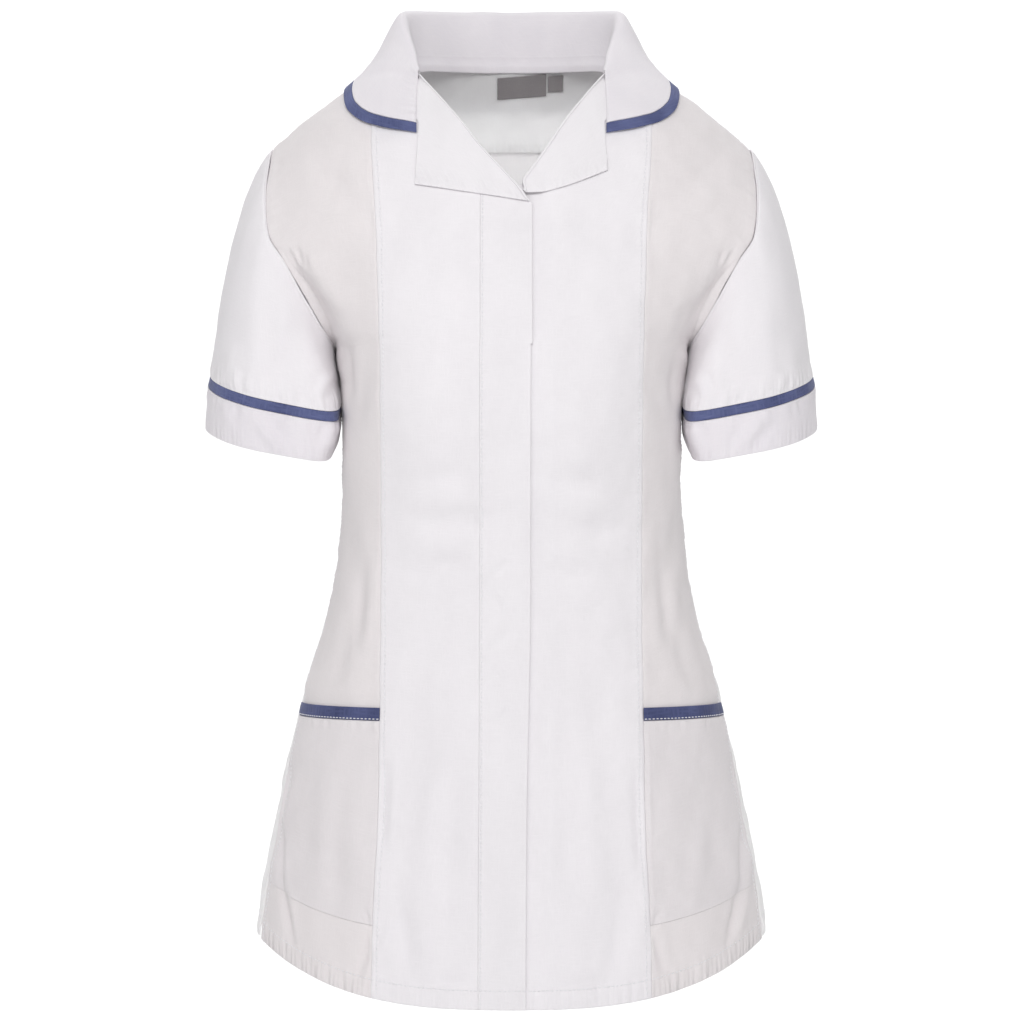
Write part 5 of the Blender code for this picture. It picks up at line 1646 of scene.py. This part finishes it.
def weave(name, cloth):
    """A plain woven cloth on the flat cloth's own map, with slightly uneven threads."""
    made = bpy.data.materials.new(name)
    made.use_nodes = True
    tree = made.node_tree
    shader = tree.nodes["Principled BSDF"]
    flat = add(tree, "ShaderNodeUVMap", {"uv_map": "flat cloth"})
    fine, long = 1 / cloth.thread, THREAD_RUN / cloth.thread
    across = add(tree, "ShaderNodeMapping", {"Scale": (fine, long, 1)}, [("Vector", flat, "UV")])
    along = add(tree, "ShaderNodeMapping", {"Scale": (long, fine, 1)}, [("Vector", flat, "UV")])
    threads = {"Scale": 1.0, "Detail": 1.0, "noise_dimensions": "2D"}
    warp = add(tree, "ShaderNodeTexNoise", threads, [("Vector", across, "Vector")])
    weft = add(tree, "ShaderNodeTexNoise", threads, [("Vector", along, "Vector")])
    both = add(tree, "ShaderNodeMath", {"operation": "MAXIMUM"}, [(0, warp, 0), (1, weft, 0)])
    places = add(tree, "ShaderNodeTexCoord")
    streaks = add(tree, "ShaderNodeMapping", {"Scale": CLOUD_SCALE}, [("Vector", places, "Object")])
    clouds = add(tree, "ShaderNodeTexNoise", {"Scale": 1.0, "Detail": 2.0, "Roughness": 0.5},
                 [("Vector", streaks, "Vector")])
    limits = {"From Min": CLOUD_FROM, "From Max": CLOUD_TO, "To Min": -CLOUD_TONE, "To Max": CLOUD_TONE}
    cloudy = add(tree, "ShaderNodeMapRange", limits, [("Value", clouds, 0)])
    shaded = add(tree, "ShaderNodeMath", {"operation": "ADD", "use_clamp": True},
                 [(0, both, 0), (1, cloudy, 0)])
    tone = add(tree, "ShaderNodeMix", {"data_type": "RGBA"}, [(0, shaded, 0)])
    tone.inputs[6].default_value = tinted(cloth.shade, cloth.tint)
    tone.inputs[7].default_value = tinted(cloth.colour, cloth.tint)
    from_hem = add(tree, "ShaderNodeSeparateXYZ", {}, [(0, flat, "UV")])
    limits = {"From Min": GATHER_FADES, "From Max": GATHER_ENDS, "To Min": 1.0, "To Max": 0.0}
    near_hem = add(tree, "ShaderNodeMapRange", limits, [("Value", from_hem, 1)])
    ribs = add(tree, "ShaderNodeMapping", {"Scale": (1 / GATHER_WIDE, 1 / GATHER_TALL, 1)},
               [("Vector", flat, "UV")])
    gather = add(tree, "ShaderNodeTexNoise", {"Scale": 1.0, "Detail": 0.0, "noise_dimensions": "2D"},
                 [("Vector", ribs, "Vector")])
    gathered = add(tree, "ShaderNodeMath", {"operation": "MULTIPLY"}, [(0, gather, 0), (1, near_hem, 0)])
    puckers = add(tree, "ShaderNodeBump", {"Strength": cloth.gathers, "Distance": GATHER_BUMP},
                  [("Height", gathered, 0)])
    grain = add(tree, "ShaderNodeBump", {"Strength": cloth.relief, "Distance": WEAVE_BUMP},
                [("Height", both, 0), ("Normal", puckers, 0)])
    tree.links.new(tone.outputs[2], shader.inputs["Base Color"])
    tree.links.new(grain.outputs["Normal"], shader.inputs["Normal"])
    shader.inputs["Roughness"].default_value = cloth.roughness
    shader.inputs["Sheen Weight"].default_value = cloth.sheen
    shader.inputs["Specular IOR Level"].default_value = CLOTH_SPECULAR
    scatter = SCATTER_THIN if cloth.depth > SEE_THROUGH else SCATTER_THICK
    shader.inputs["Subsurface Weight"].default_value = scatter
    shader.inputs["Subsurface Radius"].default_value = (1.0, 1.0, 1.0)
    shader.inputs["Subsurface Scale"].default_value = cloth.depth


def cloth_of(name):
    """The tunic's materials by name, made once."""
    if name not in bpy.data.materials:
        weave(name, CLOTHS[name])
    return bpy.data.materials[name]


class TunicSettings(bpy.types.PropertyGroup):
    """Sizes, colours and light that a user may change."""
    white_tint: FloatVectorProperty(
        name="White cloth", description="Tint of the white cloth and thread", size=3,
        default=(1.0, 1.0, 1.0), subtype="COLOR", min=0.0, max=1.0)
    navy_tint: FloatVectorProperty(
        name="Navy trims", description="Tint of the navy trims", size=3,
        default=(1.0, 1.0, 1.0), subtype="COLOR", min=0.0, max=1.0)
    label_tint: FloatVectorProperty(
        name="Labels", description="Tint of the labels in the neck", size=3,
        default=(1.0, 1.0, 1.0), subtype="COLOR", min=0.0, max=1.0)
    crease_depth: FloatProperty(
        name="Creases", description="Depth of the creases, as a share of that of the worn cloth",
        default=1.0, min=0.0, subtype="FACTOR")
    stitch_pitch: FloatProperty(
        name="Stitch pitch", description="From one stitch to the next",
        default=0.0032, min=0.001, subtype="DISTANCE", unit="LENGTH")
    stitch_length: FloatProperty(
        name="Stitch length", description="Length of thread that shows",
        default=0.0023, min=0.0005, subtype="DISTANCE", unit="LENGTH")
    exposure: FloatProperty(
        name="Light", description="Strength of the studio light", default=1.0, min=0.0)
    backdrop: FloatVectorProperty(
        name="Backdrop", description="Colour of the floor and backdrop", size=3,
        default=(0.95, 0.95, 0.95), subtype="COLOR", min=0.0, max=1.0)
    floor_drop: FloatProperty(
        name="Floor below hem", description="Drop from the hem to the floor",
        default=0.6, subtype="DISTANCE", unit="LENGTH")


class TUNIC_OT_fronts(bpy.types.Operator):
    """Make the centre fronts, the placket and the side fronts"""
    bl_idname = "tunic.fronts"
    bl_label = "Fronts"

    def execute(self, context):
        white, single = cloth_of("white poly-cotton"), cloth_of("white poly-cotton, single")
        make_front_right(white)
        make_placket(white)
        make_front_left(white)
        make_side_front(single, "right", -1)
        make_side_front(single, "left", 1)
        return {"FINISHED"}


class TUNIC_OT_back(bpy.types.Operator):
    """Make the back, its yoke and the labels"""
    bl_idname = "tunic.back"
    bl_label = "Back"

    def execute(self, context):
        yoke = make_yoke(cloth_of("white poly-cotton, yoke"))
        # The back's cloth is painted lighter, as painted light for the light that comes through it from
        # behind
        make_back(cloth_of("white poly-cotton, back"))
        grey = cloth_of("grey woven label")
        labels = [make_label(label, grey) for label in LABELS]
        declare(yoke)
        return {"FINISHED"}


class TUNIC_OT_sleeves(bpy.types.Operator):
    """Make the sleeves with their trims and cuffs"""
    bl_idname = "tunic.sleeves"
    bl_label = "Sleeves"

    def execute(self, context):
        for word, sign in (("right", -1), ("left", 1)):
            make_sleeve(cloth_of("white poly-cotton, double"), cloth_of("white poly-cotton"),
                        cloth_of("navy twill tape"), word, sign)
        return {"FINISHED"}


class TUNIC_OT_collar(bpy.types.Operator):
    """Make the collar, its trim and the revers"""
    bl_idname = "tunic.collar"
    bl_label = "Collar"

    def execute(self, context):
        white = cloth_of("white poly-cotton")
        make_collar(cloth_of("white poly-cotton, double"), cloth_of("navy twill tape"))
        make_revers(white, "right", RIGHT_LOWER, "lapping", -1)
        make_revers(white, "left", LEFT_LOWER, "under", 1)
        return {"FINISHED"}


class TUNIC_OT_pockets(bpy.types.Operator):
    """Make the hip pockets with their trims"""
    bl_idname = "tunic.pockets"
    bl_label = "Pockets"

    def execute(self, context):
        white, navy = cloth_of("white poly-cotton, pocket"), cloth_of("navy twill tape, pocket")
        for word, sign in (("right", -1), ("left", 1)):
            make_pocket(white, navy, word, sign)
        return {"FINISHED"}


class TUNIC_OT_sewing(bpy.types.Operator):
    """Sew the rows of stitches"""
    bl_idname = "tunic.sewing"
    bl_label = "Sewing"

    def execute(self, context):
        make_sewing(cloth_of("white polyester thread"))
        return {"FINISHED"}


# Studio, in metres: the floor's half width, how far it lies to the front, and the bend up into the backdrop
FLOOR_HALF = 4.0
FLOOR_FORWARD = 1.0
BACKDROP_FROM = 2.9
BEND_STEP = 0.2
BEND_DEGREES = range(9, 91, 9)
BACKDROP_TALL = 4.0
PAPER_ROUGHNESS = 0.9
SKY = 0.49

# Soft lights: where each stands, what it looks at, its size in metres and its power in watts
Lamp = namedtuple("Lamp", "name place aim size power")
LAMPS = [
    Lamp("left_softbox", (-1.3, -1.7, 0.3), (0, 0, -0.3), (1.0, 1.2), 4),
    Lamp("right_softbox", (1.2, -1.9, 0.1), (0, 0, -0.3), (1.0, 1.2), 2.4),
    Lamp("front_softbox", (0.0, -2.2, 0.8), (0, 0, -0.2), (0.9, 0.6), 22.5),
    Lamp("back_softbox", (0.0, 2.2, 1.4), (0, 0.2, -0.4), (2.4, 1.6), 4),
    Lamp("yoke_softbox", (0.0, 0.6, 0.25), (0, 0.09, -0.05), (0.3, 0.15), 0.8),
    Lamp("backdrop_softbox", (0.0, 1.8, 2.6), (0, 3.9, -0.3), (3.6, 1.2), 95),
]

# Camera: the photo's frame in pixels, what a pixel spans at the tunic, and where the camera is, in metres
FRAME_PIXELS = 1024
PIXEL = 0.00076
SENSOR = 36.0
DISTANCE = 2.4
CAMERA_X = 0.0004
CAMERA_Z = -0.3435


def area_light(lamp, share):
    """A large soft light that looks at a point."""
    data = bpy.data.lights.new(lamp.name, "AREA")
    data.shape = "RECTANGLE"
    data.size, data.size_y = lamp.size
    data.energy = lamp.power * share
    made = bpy.data.objects.new(lamp.name, data)
    made.location = lamp.place
    made.rotation_euler = (Vector(lamp.aim) - Vector(lamp.place)).to_track_quat("-Z", "Y").to_euler()
    bpy.context.scene.collection.objects.link(made)


def of_kind(parts, kind):
    """The vertices or the edges among what an operator made."""
    return [part for part in parts if isinstance(part, kind)]


def make_sweep(floor_z, colour):
    """The floor, bent up behind into a backdrop."""
    mesh = bmesh.new()
    bmesh.ops.create_grid(mesh, x_segments=1, y_segments=1, size=FLOOR_HALF)
    bmesh.ops.translate(mesh, verts=mesh.verts[:], vec=(0, -FLOOR_FORWARD, floor_z))
    far = [edge for edge in mesh.edges if all(vert.co.y > BACKDROP_FROM for vert in edge.verts)]
    for angle in BEND_DEGREES:
        raised = bmesh.ops.extrude_edge_only(mesh, edges=far)["geom"]
        far = of_kind(raised, bmesh.types.BMEdge)
        rise = BEND_STEP * math.sin(math.radians(angle))
        bmesh.ops.translate(mesh, verts=of_kind(raised, bmesh.types.BMVert),
                            vec=(0, BEND_STEP * math.cos(math.radians(angle)), rise))
    raised = bmesh.ops.extrude_edge_only(mesh, edges=far)["geom"]
    bmesh.ops.translate(mesh, verts=of_kind(raised, bmesh.types.BMVert), vec=(0, 0, BACKDROP_TALL))
    data = bpy.data.meshes.new("studio_sweep")
    mesh.to_mesh(data)
    mesh.free()
    paper = bpy.data.materials.new("white studio paper")
    paper.use_nodes = True
    shader = paper.node_tree.nodes["Principled BSDF"]
    shader.inputs["Base Color"].default_value = (*colour, 1.0)
    shader.inputs["Roughness"].default_value = PAPER_ROUGHNESS
    data.materials.append(paper)
    data.shade_smooth()
    sweep = bpy.data.objects.new("studio_sweep", data)
    bpy.context.scene.collection.objects.link(sweep)


def make_world(share):
    """Pale light from all round."""
    world = bpy.data.worlds.new("pale studio")
    world.use_nodes = True
    background = world.node_tree.nodes["Background"]
    background.inputs["Color"].default_value = (1.0, 1.0, 1.0, 1.0)
    background.inputs["Strength"].default_value = SKY * share
    bpy.context.scene.world = world
    bpy.context.scene.view_settings.view_transform = "Standard"


def make_camera():
    """The camera, level with the middle of the tunic and straight in front of it."""
    camera = bpy.data.cameras.new("camera")
    camera.sensor_width = SENSOR
    camera.lens = SENSOR * DISTANCE / (FRAME_PIXELS * PIXEL)
    camera.dof.use_dof = False
    held = bpy.data.objects.new("camera", camera)
    held.location = (CAMERA_X, -DISTANCE, CAMERA_Z)
    held.rotation_euler = (math.radians(90), 0, 0)
    bpy.context.scene.collection.objects.link(held)
    bpy.context.scene.camera = held


class TUNIC_OT_stage(bpy.types.Operator):
    """Set up the floor, the studio light and the camera"""
    bl_idname = "tunic.stage"
    bl_label = "Stage"

    def execute(self, context):
        settings = context.scene.tunic
        make_sweep(HEM * MM - settings.floor_drop, settings.backdrop)
        for lamp in LAMPS:
            area_light(lamp, settings.exposure)
        make_world(settings.exposure)
        make_camera()
        return {"FINISHED"}


class TUNIC_PT_panel(bpy.types.Panel):
    """The tunic's parts, in the 3D view's sidebar"""
    bl_label = "Tunic"
    bl_idname = "TUNIC_PT_panel"
    bl_space_type = "VIEW_3D"
    bl_region_type = "UI"
    bl_category = "Tunic"

    def draw(self, context):
        column = self.layout.column()
        for operator in OPERATORS:
            column.operator(operator.bl_idname)
        for name in TunicSettings.__annotations__:
            column.prop(context.scene.tunic, name)


OPERATORS = (TUNIC_OT_fronts, TUNIC_OT_back, TUNIC_OT_sleeves, TUNIC_OT_collar, TUNIC_OT_pockets,
             TUNIC_OT_sewing, TUNIC_OT_stage)


def register():
    for made in (TunicSettings, *OPERATORS, TUNIC_PT_panel):
        bpy.utils.register_class(made)
    bpy.types.Scene.tunic = PointerProperty(type=TunicSettings)


def unregister():
    del bpy.types.Scene.tunic
    for made in (TUNIC_PT_panel, *reversed(OPERATORS), TunicSettings):
        bpy.utils.unregister_class(made)


def main():
    """Make the tunic and its stage, and write how large it came out."""
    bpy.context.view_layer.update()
    register()
    bpy.ops.tunic.fronts()
    bpy.ops.tunic.back()
    bpy.ops.tunic.sleeves()
    bpy.ops.tunic.collar()
    bpy.ops.tunic.pockets()
    bpy.ops.tunic.sewing()
    bpy.ops.tunic.stage()


if __name__ == "__main__":
    main()
